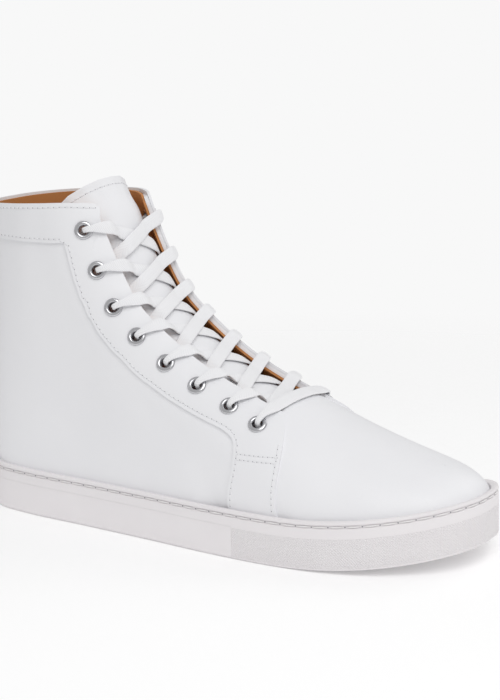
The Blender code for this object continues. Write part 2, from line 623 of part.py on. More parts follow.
BACK_GAP = 0.25 / ARC
for sd, tag in ((-1, "lateral"), (1, "medial")):
    # quarter: heel seam to under the facing
    nt = 11
    ss = np.concatenate([np.linspace(BACK_GAP, 40 / ARC, 6)[:-1], np.linspace(40 / ARC, S_QTOP[sd], 6)[:-1],
                         np.linspace(S_QTOP[sd], S_QUARTER[sd], 11)])
    S = np.repeat(ss[:, None], nt, 1)
    T = np.stack([np.linspace(0, quarter_top(sd, s), nt) for s in ss])
    panel("quarter_" + tag, sd, S, T, OUTER, "upper leather")

    # lining: heel seam to the edge of the throat
    ss = np.concatenate([np.linspace(BACK_GAP, 40 / ARC, 6)[:-1], np.linspace(40 / ARC, THROAT_S0, 7)[:-1],
                         np.linspace(THROAT_S0, THROAT_S1, 12)])
    S = np.repeat(ss[:, None], 11, 1)
    u = 1 - (1 - np.linspace(0, 1, 11)) ** 1.5          # closer together where the surface curls over
    T = np.stack([u * (t_at_y(sd, s, half_gap(s) - 1.4) if s >= THROAT_S0 - 1e-9 else 0.992) for s in ss])
    ob = panel("quarter_lining_" + tag, sd, S, T, LINING, "lining leather")
    cut(ob, hole_cutter(sd, 6.0, -2.0, 2.0, "lining_punch_" + tag))

    # eyelet reinforcement between lining and facing
    ss = np.linspace(S_QTOP[sd] + 1.2 / ARC, BACKING_END / ARC, 16)
    S = np.repeat(ss[:, None], 5, 1)
    T = []
    for s in ss:
        hi = t_at_y(sd, s, half_gap(s) - 0.2) if s >= THROAT_S0 else 0.975
        lo = float(np.interp(s - 0.6 / ARC, EDGES[sd][:, 0], EDGES[sd][:, 1])) + 0.02
        if s > S_QUARTER[sd]:
            lo = EDGES[sd][-1, 1] + 0.02 + (s - S_QUARTER[sd]) * ARC * 0.003
        lo += 0.07 * smooth(s * ARC, S_QUARTER[sd] * ARC - 14, S_QUARTER[sd] * ARC - 3)
        T.append(np.linspace(lo, hi, 5))
    ob = panel("eyestay_backing_" + tag, sd, S, np.array(T), OUTER, "stiffener")
    cut(ob, hole_cutter(sd, HOLE_D, 1.0, 4.0, "backing_punch_" + tag))

    # facing: collar band, eyelet row and front strip in one panel
    n1, n2, n3, nb = 14, 22, 7, 5
    s_i = find_face(sd, *REAR[0])[0]
    so = np.linspace(BACK_GAP, THROAT_S0, n1)
    si = np.linspace(BACK_GAP, s_i, n1)
    O = [(a, 1.0) for a in so]
    I = [(a, t_at_z(sd, a, BAND_Z)) for a in si]
    O[-1] = (THROAT_S0, t_at_y(sd, THROAT_S0, half_gap(THROAT_S0)))
    ts, te = throat_edge(sd, n2)
    O += list(zip(ts[1:], te[1:]))
    I += [tuple(v) for v in resample(st_list(sd, REAR), n2)[1:]]
    fo = st_list(sd, FRONT_LOW)
    fo = np.concatenate([[[ts[-1], te[-1]]], fo, [[fo[-1, 0], 0.0]]])
    ri = st_list(sd, REAR_LOW)
    ri = np.concatenate([ri, [[ri[-1, 0], 0.0]]])

    def in_mm(pl):
        return np.c_[pl[:, 0] * ARC, pl[:, 1] * 60]

    O += [(v[0] / ARC, v[1] / 60) for v in resample(in_mm(fo), n3)[1:]]
    I += [(v[0] / ARC, v[1] / 60) for v in resample(in_mm(ri), n3)[1:]]
    O, I = np.array(O), np.array(I)
    k = np.linspace(0, 1, nb)[None, :]
    S = I[:, :1] * (1 - k) + O[:, :1] * k
    T = I[:, 1:] * (1 - k) + O[:, 1:] * k
    ob = panel("facing_" + tag, sd, S, np.clip(T, 0, 1), OVER, "upper leather")
    cut(ob, hole_cutter(sd, HOLE_D, 2.6, 7.0, "facing_punch_" + tag))

# ---------------------------------------------------------------- vamp and its lining, toe puff
def dome(name, lay, kind, start, m_t, rows, t_step=None):
    """Sheet over the foot from a rear edge start(side, t) to the toe, both sides in one."""
    half = np.linspace(0, 1, m_t)
    pts = {}
    for off in lay:
        lat, med = [], []
        for i in range(rows):
            k = i / (rows - 1)
            row_l = np.array([start(-1, t) * (1 - k) + k for t in half])
            row_m = np.array([start(1, t) * (1 - k) + k for t in half])
            lat.append(surf(-1, row_l, half, off))
            med.append(surf(1, row_m, half, off))
        lat, med = np.array(lat), np.array(med)
        ridge = (lat[:, -1:] + med[:, -1:]) / 2
        grid = np.concatenate([lat[:, :-1], ridge, med[:, -2::-1]], axis=1)
        # last row: both sides are one line
        w = grid.shape[1]
        last = grid[-1].copy()
        for j in range(w):
            grid[-1, j] = (last[j] + last[w - 1 - j]) / 2
        pts[off] = grid
    w = 2 * m_t - 1
    idx = np.arange(rows * w).reshape(rows, w)
    for j in range(m_t, w):
        idx[-1, j] = idx[-1, w - 1 - j]
    inner, outer = pts[lay[0]].reshape(-1, 3), pts[lay[1]].reshape(-1, 3)
    used = np.unique(idx)
    remap = {int(v): i for i, v in enumerate(used)}
    idx = np.vectorize(lambda v: remap[int(v)])(idx)
    return thick(name, inner[used], outer[used], idx, kind)


def vamp_rear(side, t):
    # wing under the front strip, then across the foot just in front of the last eyelets
    low = S_QUARTER[side] * ARC + 1.2
    return (low + (BACKING_END + 1.2 - low) * min(1.0, max(0.0, (t - 0.37) / 0.08))) / ARC


dome("vamp", OUTER, "upper leather", vamp_rear, 12, 14)
dome("vamp_lining", LINING, "lining leather", lambda side, t: (THROAT_S1 * ARC + 0.8) / ARC, 12, 14)
dome("toe_puff", STIFF, "stiffener", lambda side, t: 292.0 / ARC, 12, 7)

# ---------------------------------------------------------------- heel counter, backstay, collar foam
def around_heel(name, arc_end, t_low, t_high, lay, kind, ns, nt):
    """Sheet that wraps the heel from one side to the other."""
    half = np.linspace(0, arc_end / ARC, ns)
    pts = {}
    for off in lay:
        lat = np.array([surf(-1, np.full(nt, s), np.linspace(t_low(-1, s), t_high(-1, s), nt), off) for s in half])
        med = np.array([surf(1, np.full(nt, s), np.linspace(t_low(1, s), t_high(1, s), nt), off) for s in half])
        mid = (lat[:1] + med[:1]) / 2
        pts[off] = np.concatenate([lat[:0:-1], mid, med[1:]])
    g = pts[lay[0]]
    idx = np.arange(g.shape[0] * g.shape[1]).reshape(g.shape[0], g.shape[1])
    return thick(name, pts[lay[0]], pts[lay[1]], idx, kind)


around_heel("heel_counter", 72, lambda a, s: 0.0, lambda a, s: 0.50 - 0.14 * (s * ARC / 72) ** 2, STIFF, "stiffener", 9, 8)
around_heel("heel_backstay", 12, lambda a, s: 0.0, lambda a, s: t_at_z(a, s, BAND_Z - 0.8), OVER, "upper leather", 3, 16)
around_heel("collar_foam", 106, lambda a, s: t_at_z(a, s, 155.0), lambda a, s: 0.975, (1.2, 3.2), "foam", 14, 3)

# ---------------------------------------------------------------- throat coordinates
RIDGE_LEN = np.concatenate([[0], np.cumsum(np.linalg.norm(np.diff(RIDGE, axis=0), axis=1))])


def ridge_at(r):
    """Ridge point and its outward side-view normal, r in mm down from the collar."""
    e = 1.5
    def pt(q):
        p = np.array([np.interp(q, RIDGE_LEN, RIDGE[:, 0]), np.interp(q, RIDGE_LEN, RIDGE[:, 1])])
        if q < 0:
            p = RIDGE[0] + (RIDGE[0] - RIDGE[1]) / np.linalg.norm(RIDGE[0] - RIDGE[1]) * -q
        return p
    p = pt(r)
    t = pt(r + e) - pt(r - e)
    t /= np.linalg.norm(t)
    return p, np.array([-t[1], t[0]])


def fan_point(r, y):
    """Inside-face point at ridge distance r and sideways distance y."""
    side = -1 if y < 0 else 1
    base, n = ridge_at(r)
    d = 0.0
    for _ in range(5):
        x, z = base - n * d
        foot = abs(float(np.interp(x, HALF[side][:, 0], HALF[side][:, 1]))) - INSET
        w = SHAFT_HALF + 1.0 + (foot - SHAFT_HALF - 1.0) * (1 - float(smooth(z, 11, 112)))
        rr = ROUND_TOP + (ROUND_LOW - ROUND_TOP) * float(smooth(x, 95, 190))
        q = min(abs(y) / w, 0.985)
        d = rr * (1 - (1 - q ** ROUND_POWER) ** (1 / ROUND_POWER))
    x, z = base - n * d
    return np.array([x, y, z])


def fan(r, y, off=0.0):
    p = fan_point(r, y)
    a = fan_point(r + 1.0, y) - fan_point(r - 1.0, y)
    b = fan_point(r, y + 0.6) - fan_point(r, y - 0.6)
    n = np.cross(a, b)
    n /= np.linalg.norm(n)
    if n @ np.array([0.5, 0.2 * np.sign(y), 0.8]) < 0:
        n = -n
    return p + n * off, n


def fan_coords(p):
    """Ridge distance of a point seen from the side."""
    rs = np.linspace(-5, RIDGE_LEN[-1], 600)
    pts = np.array([ridge_at(r)[0] for r in rs])
    return float(rs[int(np.argmin(((pts - [p[0], p[2]]) ** 2).sum(1)))])


EYELET_FAN = {sd: [(fan_coords(rib(sd, np.array(s), np.array(t))), float(rib(sd, np.array(s), np.array(t))[1]))
                   for s, t in EYELET_ST[sd]] for sd in (-1, 1)}

# ---------------------------------------------------------------- tongue
TONGUE_TOP = [(81.0, 0.0, 179.0), (79.8, 9.5, 178.2), (76.3, 18.0, 175.4), (71.0, 24.5, 171.0), (66.5, 28.0, 165.5)]
TONGUE_BASE = float(np.interp(216.0, RIDGE[:, 0], RIDGE_LEN))     # where it is sewn under the vamp
TONGUE_FREE = float(np.interp(203.0, RIDGE[:, 0], RIDGE_LEN))


def tongue_half_width(r):
    return float(np.interp(r, [0, 40, TONGUE_FREE, TONGUE_BASE], [28.5, 29.5, 27.5, 20.0]))


def tongue_off(r):
    return -1.0 - (TONGUE_DROP - 1.0) * float(1 - smooth(r, TONGUE_FREE - 3, TONGUE_BASE - 2))


def tongue_grid():
    cols = np.linspace(-1, 1, 9)
    rows = []
    for r in np.linspace(TONGUE_BASE, 4.0, 21):
        w = tongue_half_width(r)
        rows.append(np.array([fan(r, c * w + 1e-4, tongue_off(r))[0] for c in cols]))
    last, prev = rows[-1], rows[-2]
    top = np.array(TONGUE_TOP)
    ty = np.interp(abs(cols), np.linspace(0, 1, 5), top[:, 1]) * np.sign(cols)
    tx = np.interp(abs(cols), np.linspace(0, 1, 5), top[:, 0]) * LENGTH_SCALE
    tz = FEATHER_HEIGHT + (np.interp(abs(cols), np.linspace(0, 1, 5), top[:, 2]) - FEATHER_HEIGHT) * HEIGHT_SCALE
    end = np.stack([tx, ty, tz], 1)
    d0 = (last - prev)
    d0 = d0 / np.linalg.norm(d0, axis=1, keepdims=True)
    ln = np.linalg.norm(end - last, axis=1, keepdims=True)
    up = np.tile(np.array([[-0.30, 0, 0.95]]), (len(cols), 1))
    for k in (0.33, 0.66, 1.0):
        h = [(1 + 2 * k) * (1 - k) ** 2, k * (1 - k) ** 2, k * k * (3 - 2 * k), k * k * (k - 1)]
        rows.append(h[0] * last + h[1] * d0 * ln + h[2] * end + h[3] * up * ln)
    return np.array(rows)


def grid_normals(g):
    a = np.gradient(g, axis=0)
    b = np.gradient(g, axis=1)
    n = np.cross(b, a)
    n /= np.linalg.norm(n, axis=-1, keepdims=True)
    if n[len(n) // 2, g.shape[1] // 2, 2] < 0:
        n = -n
    return n


TG = tongue_grid()
TN = grid_normals(TG)
TIDX = np.arange(TG.shape[0] * TG.shape[1]).reshape(TG.shape[:2])
thick("tongue", TG - TN * 1.1, TG, TIDX, "upper leather")


def inset_sheet(g, n, d_edge):
    """The same sheet a little narrower, its points still on the sheet."""
    m, w = g.shape[:2]
    out, nrm = np.empty_like(g), np.empty_like(n)
    for i in range(m):
        half = np.linalg.norm(np.diff(g[i], axis=0), axis=1).sum() / 2
        at = (w - 1) / 2 * (1 + np.linspace(-1, 1, w) * (1 - d_edge / half))
        for c in range(3):
            out[i, :, c] = np.interp(at, np.arange(w), g[i, :, c])
            nrm[i, :, c] = np.interp(at, np.arange(w), n[i, :, c])
    step = np.linalg.norm(out[-1] - out[-2], axis=1, keepdims=True)
    out[-1] += (out[-2] - out[-1]) * np.minimum(1.0, d_edge / step)
    return out, nrm / np.linalg.norm(nrm, axis=-1, keepdims=True)


FG, FN = inset_sheet(TG, TN, 3.0)
thick("tongue_foam", (FG - FN * 2.6)[1:], (FG - FN * 1.6)[1:], TIDX[1:] - TIDX[1, 0], "foam")
LG, LN = inset_sheet(TG, TN, 0.6)
thick("tongue_lining", (LG - LN * 3.8)[1:], (LG - LN * 3.15)[1:], TIDX[1:] - TIDX[1, 0], "lining leather")

# ---------------------------------------------------------------- eyelets
def revolve(name, origin, a, b, n, profile, seg, kind):
    verts, faces = [], []
    for i in range(seg):
        th = 2 * math.pi * i / seg
        d = a * math.cos(th) + b * math.sin(th)
        for r, z in profile:
            verts.append(origin + d * r + n * z)
    m = len(profile)
    for i in range(seg):
        j = (i + 1) % seg
        for k in range(m):
            q = (k + 1) % m
            faces.append((i * m + k, j * m + k, j * m + q, i * m + q))
    return add(name, verts, faces, kind)


RB = EYELET_BORE / 2
RF = EYELET_OD / 2
EYELET_PROFILE = [(RB, 1.2), (3.75, 1.2), (RB + 0.3, 1.5), (RB + 0.3, 5.0), (RF, 5.0), (RF - 0.4, 5.5),
                  (RF - 1.4, 5.75), (RB, 5.4)]
for sd, tag in ((-1, "lateral"), (1, "medial")):
    for i, (s, t) in enumerate(EYELET_ST[sd]):
        p, a, b, n = frame_at(sd, s, t)
        revolve("eyelet_%s_%d" % (tag, i + 1), p, a, b, n, EYELET_PROFILE, 8, "eyelet metal")


# ---------------------------------------------------------------- lace
LIFT = OVER[1] + 0.45 + LACE_T / 2              # lace centre lying on the facing
LIE = -TONGUE_DROP + 0.65 + LACE_T / 2          # lace centre lying on the tongue
CROSS = LACE_T + 0.4                            # upper strand over the lower one
UNDER = -1.55                                   # lace centre under the lining
HOLE_W, HOLE_T = 2.8, 1.6


def keyed(x, keys):
    return float(np.interp(x, [k for k, _ in keys], [v for _, v in keys]))


def along(r):
    """Side-view direction of the ridge, upwards."""
    a, b = ridge_at(r + 1.0)[0], ridge_at(r - 1.0)[0]
    v = np.array([b[0] - a[0], 0.0, b[1] - a[1]])
    return v / np.linalg.norm(v)


def tongue_rise(r):
    """How much higher than the tongue's free part it lies near its sewn end."""
    return tongue_off(r) + TONGUE_DROP


def through(side, i):
    """Points of the lace passing outwards through an eyelet."""
    s, t = EYELET_ST[side][i - 1]
    p, a, b, n = frame_at(side, s, t)
    w = along(EYELET_FAN[side][i - 1][0])
    return [(p + n * o, w, HOLE_W, HOLE_T) for o in (-1.0, 0.8, 3.0, 5.2, 6.7)]


def run(sa, ia, sb, ib, keys, qs, shape):
    """Surface points between two eyelets; q is the sideways distance from the middle, a side negative."""
    (ra, ya), (rb, yb) = EYELET_FAN[sa][ia - 1], EYELET_FAN[sb][ib - 1]
    out = []
    for q in qs:
        r = ra + (rb - ra) * (q + abs(ya)) / (abs(ya) + abs(yb))
        y = q if sa < 0 else -q
        y = y if abs(y) > 1e-3 else 1e-3
        off = keyed(q, keys)
        p, n = fan(r, y, max(off, tongue_rise(r) - TONGUE_DROP + 0.35 + LACE_T / 2) if abs(q) < 14 else off)
        wide, deep = shape(q)
        out.append((p, along(r), wide, deep))
    return out


def strand(sa, ia, sb, ib, upper):
    """One strand: out of eyelet a, over the edge, across, under the far edge to eyelet b."""
    ya, yb = abs(EYELET_FAN[sa][ia - 1][1]), abs(EYELET_FAN[sb][ib - 1][1])
    gap = half_gap(EYELET_ST[sa][ia - 1][0])
    mid = LIE + (CROSS if upper else 0.0)
    keys = [(-ya + 2.2, LIFT + 1.75), (-ya + 5.6, LIFT + 0.95), (-gap, LIFT), (-gap + 2.4, LIFT - 0.3),
            (-gap + 9.0, mid), (11.6, mid), (gap - 4.6, UNDER - 0.2), (yb - 2.5, UNDER)]

    def shape(q):
        d = min(q + ya, yb - q)
        return float(np.interp(d, [0, 2.2, 7.0], [HOLE_W, 3.6, LACE_W])), float(np.interp(d, [0, 5], [1.5, LACE_T]))

    qs = [-ya + 2.2, -ya + 5.6, -gap - 0.2, -gap + 2.4, -gap + 5.7, -gap + 9.2, -5.5, 0.0, 5.5, 11.4, gap - 4.6, gap + 0.8,
          yb - 2.6]
    return run(sa, ia, sb, ib, keys, qs, shape)


def bottom_bar():
    ya = abs(EYELET_FAN[1][7][1])
    gap = half_gap(EYELET_ST[1][7][0])
    top = 4.9
    keys = [(-ya + 2.2, LIFT + 1.75), (-ya + 5.6, LIFT + 0.95), (-gap, LIFT), (-gap + 5, top), (gap - 5, top),
            (gap, LIFT), (ya - 5.6, LIFT + 0.95), (ya - 2.2, LIFT + 1.75)]

    def shape(q):
        d = ya - abs(q)
        return float(np.interp(d, [0, 2.2, 7.0], [HOLE_W, 3.6, LACE_W])), float(np.interp(d, [0, 5], [1.5, LACE_T]))

    qs = [-ya + 2.2, -ya + 5.6, -gap - 0.2, -gap + 4, -9.0, 0.0, 9.0, gap - 4, gap + 0.2, ya - 5.6, ya - 2.2]
    return run(1, 8, -1, 8, keys, qs, shape)


TAIL = [(80.6, 152.2), (76.9, 146.5), (76.6, 137.5), (79.0, 128.0)]
TIP_END = (84.6, 111.5)


def tail_points(side):
    """Loose end from the top eyelet, hanging inside the ankle wall."""
    out = []
    pts = []
    for x, z in TAIL + [TIP_END]:
        s, t = find(side, *world(x, z))
        n = normal(side, np.array(s), np.array(t))
        pts.append((rib(side, np.array(s), np.array(t)) - n * 1.9, n))
    for k in range(len(TAIL)):
        d = pts[k + 1][0] - (pts[k - 1][0] if k else pts[0][0] - (pts[1][0] - pts[0][0]))
        w = np.cross(pts[k][1], d)
        w /= np.linalg.norm(w)
        if w @ np.array([1.0, 0, 0.6]) < 0:
            w = -w
        out.append((pts[k][0], w, (2.8, 3.2, 3.6, 3.6)[k], 1.3))
    return out, pts[-1][0]


def lace_route():
    left, right = -1, 1
    route = tail_points(left)[0][::-1] + through(left, 1)
    side = left
    for i in range(1, 8):
        route += strand(side, i, -side, i + 1, upper=(side == right)) + through(-side, i + 1)
        side = -side
    route += bottom_bar() + through(left, 8)[::-1]
    side = left
    for i in range(7, 0, -1):
        route += strand(-side, i, side, i + 1, upper=(-side == right))[::-1] + through(-side, i)[::-1]
        side = -side
    route += tail_points(side)[0]
    return route, side


def smooth_path(pts, step):
    """Samples along a smooth curve through the points, with width direction and section size."""
    P = np.array([p[0] for p in pts])
    Q = np.array([np.r_[p[1], p[2], p[3]] for p in pts])
    for k in range(1, len(Q)):
        if Q[k, :3] @ Q[k - 1, :3] < 0:
            Q[k, :3] *= -1
    out_p, out_q = [], []
    for i in range(len(P) - 1):
        p0, p1, p2, p3 = P[max(i - 1, 0)], P[i], P[i + 1], P[min(i + 2, len(P) - 1)]
        d = np.linalg.norm(p2 - p1)
        n = max(1, int(round(d / step)))
        m1 = (p2 - p0) / max(np.linalg.norm(p2 - p0), 1e-6) * d * 0.8
        m2 = (p3 - p1) / max(np.linalg.norm(p3 - p1), 1e-6) * d * 0.8
        for k in np.arange(n) / n:
            h = [(1 + 2 * k) * (1 - k) ** 2, k * (1 - k) ** 2, k * k * (3 - 2 * k), k * k * (k - 1)]
            out_p.append(h[0] * p1 + h[1] * m1 + h[2] * p2 + h[3] * m2)
            out_q.append(Q[i] * (1 - k) + Q[i + 1] * k)
    out_p.append(P[-1])
    out_q.append(Q[-1])
    return np.array(out_p), np.array(out_q)


def ribbon(name, P, W, wide, deep, kind):
    """Flat band along P; W is the direction across its width."""
    T = np.gradient(P, axis=0)
    T /= np.linalg.norm(T, axis=1, keepdims=True)
    W = W - T * (W * T).sum(1, keepdims=True)
    W /= np.linalg.norm(W, axis=1, keepdims=True)
    N = np.cross(T, W)
    verts, faces = [], []
    for p, w, n, a, b in zip(P, W, N, wide, deep):
        for u, v in ((-1, -1), (1, -1), (1, 1), (-1, 1)):
            verts.append(p + w * u * a / 2 + n * v * b / 2)
    m = len(P)
    for i in range(m - 1):
        for k in range(4):
            j = (k + 1) % 4
            faces.append((i * 4 + k, i * 4 + j, (i + 1) * 4 + j, (i + 1) * 4 + k))
    faces.append((3, 2, 1, 0))
    faces.append(tuple((m - 1) * 4 + k for k in range(4)))
    return add(name, verts, faces, kind)


ROUTE, LAST_SIDE = lace_route()
LP, LQ = smooth_path(ROUTE, 5.0)
ribbon("lace", LP, LQ[:, :3], LQ[:, 3], LQ[:, 4], "lace cotton")

for tag, sd, p, q, w in (("lateral", -1, LP[0], LP[1], LQ[0, :3]), ("medial", LAST_SIDE, LP[-1], LP[-2], LQ[-1, :3])):
    d = tail_points(sd)[1] - p
    length = np.linalg.norm(d)
    d /= length
    pts = np.array([p + d * 0.35, p + d * (0.35 + length) / 2, p + d * length])
    ribbon("aglet_" + tag, pts, np.array([w, w, w]), [2.9] * 3, [1.6] * 3, "tip plastic")
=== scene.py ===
# High-top lace-up trainer, right foot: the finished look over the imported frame.
# Everything is worked out in millimetres on the inside face of the upper, then moved to the row frame in metres.
import math
import bpy
import bmesh
import numpy as np
from mathutils import Matrix, Vector

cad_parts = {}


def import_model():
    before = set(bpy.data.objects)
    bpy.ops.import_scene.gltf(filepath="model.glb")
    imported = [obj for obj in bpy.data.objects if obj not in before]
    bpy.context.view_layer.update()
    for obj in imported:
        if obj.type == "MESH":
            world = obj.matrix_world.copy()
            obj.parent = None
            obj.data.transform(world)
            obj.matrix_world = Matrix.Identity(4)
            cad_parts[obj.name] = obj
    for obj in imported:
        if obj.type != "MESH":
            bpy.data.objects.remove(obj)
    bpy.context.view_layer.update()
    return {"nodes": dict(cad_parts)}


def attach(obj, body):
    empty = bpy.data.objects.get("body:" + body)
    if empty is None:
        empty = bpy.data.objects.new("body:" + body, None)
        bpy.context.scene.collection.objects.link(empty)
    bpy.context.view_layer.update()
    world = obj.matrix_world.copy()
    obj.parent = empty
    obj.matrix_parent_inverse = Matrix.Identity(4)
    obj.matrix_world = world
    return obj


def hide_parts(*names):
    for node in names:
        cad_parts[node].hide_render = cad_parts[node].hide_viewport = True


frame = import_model()
MM = 0.001

# ---------------------------------------------------------------- driving sizes (mm)
SOLE_LENGTH = 298.0        # heel to toe over the sole
SOLE_WIDTH = 103.5         # widest place, at the ball
LENGTH_SCALE = SOLE_LENGTH / 298.0
WIDTH_SCALE = SOLE_WIDTH / 103.5
COLLAR_HEIGHT = 168.0      # collar edge at the ankle, above the ground
HEIGHT_SCALE = (COLLAR_HEIGHT - 11.3) / 156.7
TOE_SPRING = 11.0          # how far the toe lifts off the ground
SPRING_START = 205.0       # where the lift begins
WALL_HEIGHT = 24.5         # cupsole wall above the ground
WALL_THICK = 2.7           # cupsole wall thickness
SOLE_FLOOR = 5.0           # sole thickness under the cavity
FEATHER_HEIGHT = 11.3      # where the upper starts, inside the cup
INSET = 7.2                # sole edge to the inside face of the lining
OVERLAP_INSET = 1.7        # extra inset where three layers of leather meet the wall

LINING = (0.0, 1.1)        # layer distances out from the inside face
OUTER = (2.0, 3.4)
OVER = (3.4, 4.7)
EYELET_OD = 9.6
EYELET_BORE = 5.0
HOLE_D = 6.4               # punched hole the eyelet barrel goes through
THROAT_GAP_TOP = 21.0      # half gap between facing edges at the ankle
THROAT_GAP_LOW = 20.5      # and at the bottom of the throat
SHAFT_HALF = 31.5          # half width of the ankle shaft inside the leather
LACE_W = 7.3
LACE_T = 1.25
TONGUE_DROP = 3.3          # room for the lace between tongue and facing

# ---------------------------------------------------------------- sole outline
OUTLINE = [(0.0, 0.0), (5.6, -16.6), (20.2, -30.9), (45, -36.8), (85, -40.3), (130, -44.8),
           (170, -49.3), (205, -51.2), (235, -49.3), (262.5, -41.4), (285, -26.6), (296.3, -9),
           (297.6, 6), (294, 22), (282, 37.6), (258.4, 47), (230.2, 52.1), (200, 50),
           (165, 42), (125, 36.5), (80, 36.2), (45, 36), (20, 30.5), (5.1, 17)]


def closed_curve(points, steps):
    """Smooth closed curve through the points."""
    pts = np.array(points, float) * [LENGTH_SCALE, WIDTH_SCALE]
    n = len(pts)
    out = []
    for i in range(n):
        p0, p1, p2, p3 = pts[i - 1], pts[i], pts[(i + 1) % n], pts[(i + 2) % n]
        t0 = 0.0
        t1 = t0 + np.linalg.norm(p1 - p0) ** 0.5
        t2 = t1 + np.linalg.norm(p2 - p1) ** 0.5
        t3 = t2 + np.linalg.norm(p3 - p2) ** 0.5
        for t in np.linspace(t1, t2, steps, endpoint=False):
            a1 = (t1 - t) / (t1 - t0) * p0 + (t - t0) / (t1 - t0) * p1
            a2 = (t2 - t) / (t2 - t1) * p1 + (t - t1) / (t2 - t1) * p2
            a3 = (t3 - t) / (t3 - t2) * p2 + (t - t2) / (t3 - t2) * p3
            b1 = (t2 - t) / (t2 - t0) * a1 + (t - t0) / (t2 - t0) * a2
            b2 = (t3 - t) / (t3 - t1) * a2 + (t - t1) / (t3 - t1) * a3
            out.append((t2 - t) / (t2 - t1) * b1 + (t - t1) / (t2 - t1) * b2)
    return np.array(out)


EDGE = closed_curve(OUTLINE, 16)
HEEL_I = int(np.argmin(EDGE[:, 0]))
TOE_I = int(np.argmax(EDGE[:, 0]))


def half_edge(side):
    """Outline from heel to toe down one side: -1 lateral, +1 medial."""
    n = len(EDGE)
    if side < 0:
        idx = [(HEEL_I + k) % n for k in range((TOE_I - HEEL_I) % n + 1)]
    else:
        idx = [(HEEL_I - k) % n for k in range((HEEL_I - TOE_I) % n + 1)]
    return EDGE[idx]


def arc_table(pts):
    seg = np.linalg.norm(np.diff(pts, axis=0), axis=1)
    s = np.concatenate([[0], np.cumsum(seg)])
    return s / s[-1]


HALF = {s: half_edge(s) for s in (-1, 1)}
HALF_S = {s: arc_table(HALF[s]) for s in (-1, 1)}


def edge_at(side, s):
    s = np.asarray(s, float)
    return np.stack([np.interp(s, HALF_S[side], HALF[side][:, 0]),
                     np.interp(s, HALF_S[side], HALF[side][:, 1])], -1)


def ground(x):
    """Height of the sole's underside."""
    k = np.clip((np.asarray(x, float) - SPRING_START) / (SOLE_LENGTH - SPRING_START), 0, None)
    return TOE_SPRING * k ** 2


def smooth(x, a, b):
    k = np.clip((np.asarray(x, float) - a) / (b - a), 0, 1)
    return k * k * (3 - 2 * k)


TAN_ALL = np.roll(EDGE, -1, 0) - np.roll(EDGE, 1, 0)
TAN_ALL /= np.linalg.norm(TAN_ALL, axis=1, keepdims=True)
IN_ALL = np.stack([-TAN_ALL[:, 1], TAN_ALL[:, 0]], 1)
IN_ALL *= np.sign(((EDGE.mean(0) - EDGE) * IN_ALL).sum(1))[:, None]
IN_ALL[HEEL_I] = (1.0, 0.0)
IN_ALL[TOE_I] = (-1.0, 0.0)
HALF_IN = {}
for sd in (-1, 1):
    count = len(HALF[sd])
    HALF_IN[sd] = IN_ALL[[(HEEL_I - sd * k) % len(EDGE) for k in range(count)]]


def inward_at(side, s):
    s = np.asarray(s, float)
    n = np.stack([np.interp(s, HALF_S[side], HALF_IN[side][:, k]) for k in (0, 1)], -1)
    return n / np.linalg.norm(n, axis=-1, keepdims=True)


def edge_inset(side, s, extra):
    """Outline point moved inwards by an inset."""
    return edge_at(side, s) + inward_at(side, s) * np.asarray(extra)[..., None]


# ---------------------------------------------------------------- inside face of the upper
ARC = 343.0
# arc from the heel, top line x, |y|, z, lower handle, upper handle sideways, down, forwards, lower handle back
RIBS = np.array([
    (0, 14.0, 0.0, 165.0, 45, 0, 60, 0, 0), (18, 16.5, 14.5, 165.3, 45, 0, 60, 0, 0),
    (38, 26.0, 25.5, 166.0, 47, 0.3, 58, 0, 0), (64, 43.0, 31.5, 167.0, 52, 0.8, 55, 0, 4),
    (90, 60.0, 33.0, 168.0, 60, 0.6, 50, 1.0, 10), (108, 75.0, 30.6, 168.0, 74, 3.2, 36, 3.0, 15),
    (120, 84.0, 24.0, 166.8, 92, 11.0, 16, 3.0, 19), (128, 88.8, 13.5, 165.8, 110, 21.5, 5, 1.0, 23),
    (134, 91.0, 0.0, 165.0, 124, 34.5, 0, 0, 26), (142, 93.3, 0.0, 159.0, 122, 35, 0, 0, 28),
    (152, 97.5, 0.0, 149.0, 116, 35.5, 0, 0, 28), (163, 103.8, 0.0, 136.0, 107, 36, 0, 0, 27),
    (176, 114.5, 0.0, 118.5, 90, 36, 0, 0, 24), (190, 132.0, 0.2, 103.0, 73, 35, 0, 0, 19),
    (205, 153.0, 0.4, 88.5, 56, 33.5, 0, 0, 13), (220, 175.5, 0.6, 77.0, 43, 31.5, 0, 0, 8),
    (236, 198.0, 1.0, 67.3, 34, 30, 0, 0, 4), (252, 218.0, 1.5, 59.2, 29, 28, 0, 0, 2),
    (268, 235.0, 2.0, 53.5, 24, 26, 0, 0, 0), (284, 248.0, 2.6, 49.6, 20.5, 23.5, 0, 0, 0),
    (300, 258.0, 3.1, 46.8, 18, 20, 0, 0, 0), (316, 266.0, 3.6, 44.6, 16, 16, 0, 0, 0),
    (331, 271.0, 3.9, 43.3, 15, 12.5, 0, 0, 0), (343, 273.0, 4.0, 42.8, 14.5, 10.5, 0, 0, 0)])
RIBS[:, 0] /= ARC
CORNER = 134.0 / ARC
RIBS[:, 1] *= LENGTH_SCALE
RIBS[:, 2] *= WIDTH_SCALE
RIBS[:, 3] = FEATHER_HEIGHT + (RIBS[:, 3] - FEATHER_HEIGHT) * HEIGHT_SCALE


def catmull(xk, yk, x):
    """Monotone-ish cubic through a table."""
    m = np.gradient(yk, xk)
    i = np.clip(np.searchsorted(xk, x) - 1, 0, len(xk) - 2)
    h = xk[i + 1] - xk[i]
    t = (x - xk[i]) / h
    return ((1 + 2 * t) * (1 - t) ** 2 * yk[i] + t * (1 - t) ** 2 * h * m[i]
            + t * t * (3 - 2 * t) * yk[i + 1] + t * t * (t - 1) * h * m[i + 1])


KC = int(np.argmin(abs(RIBS[:, 0] - CORNER)))


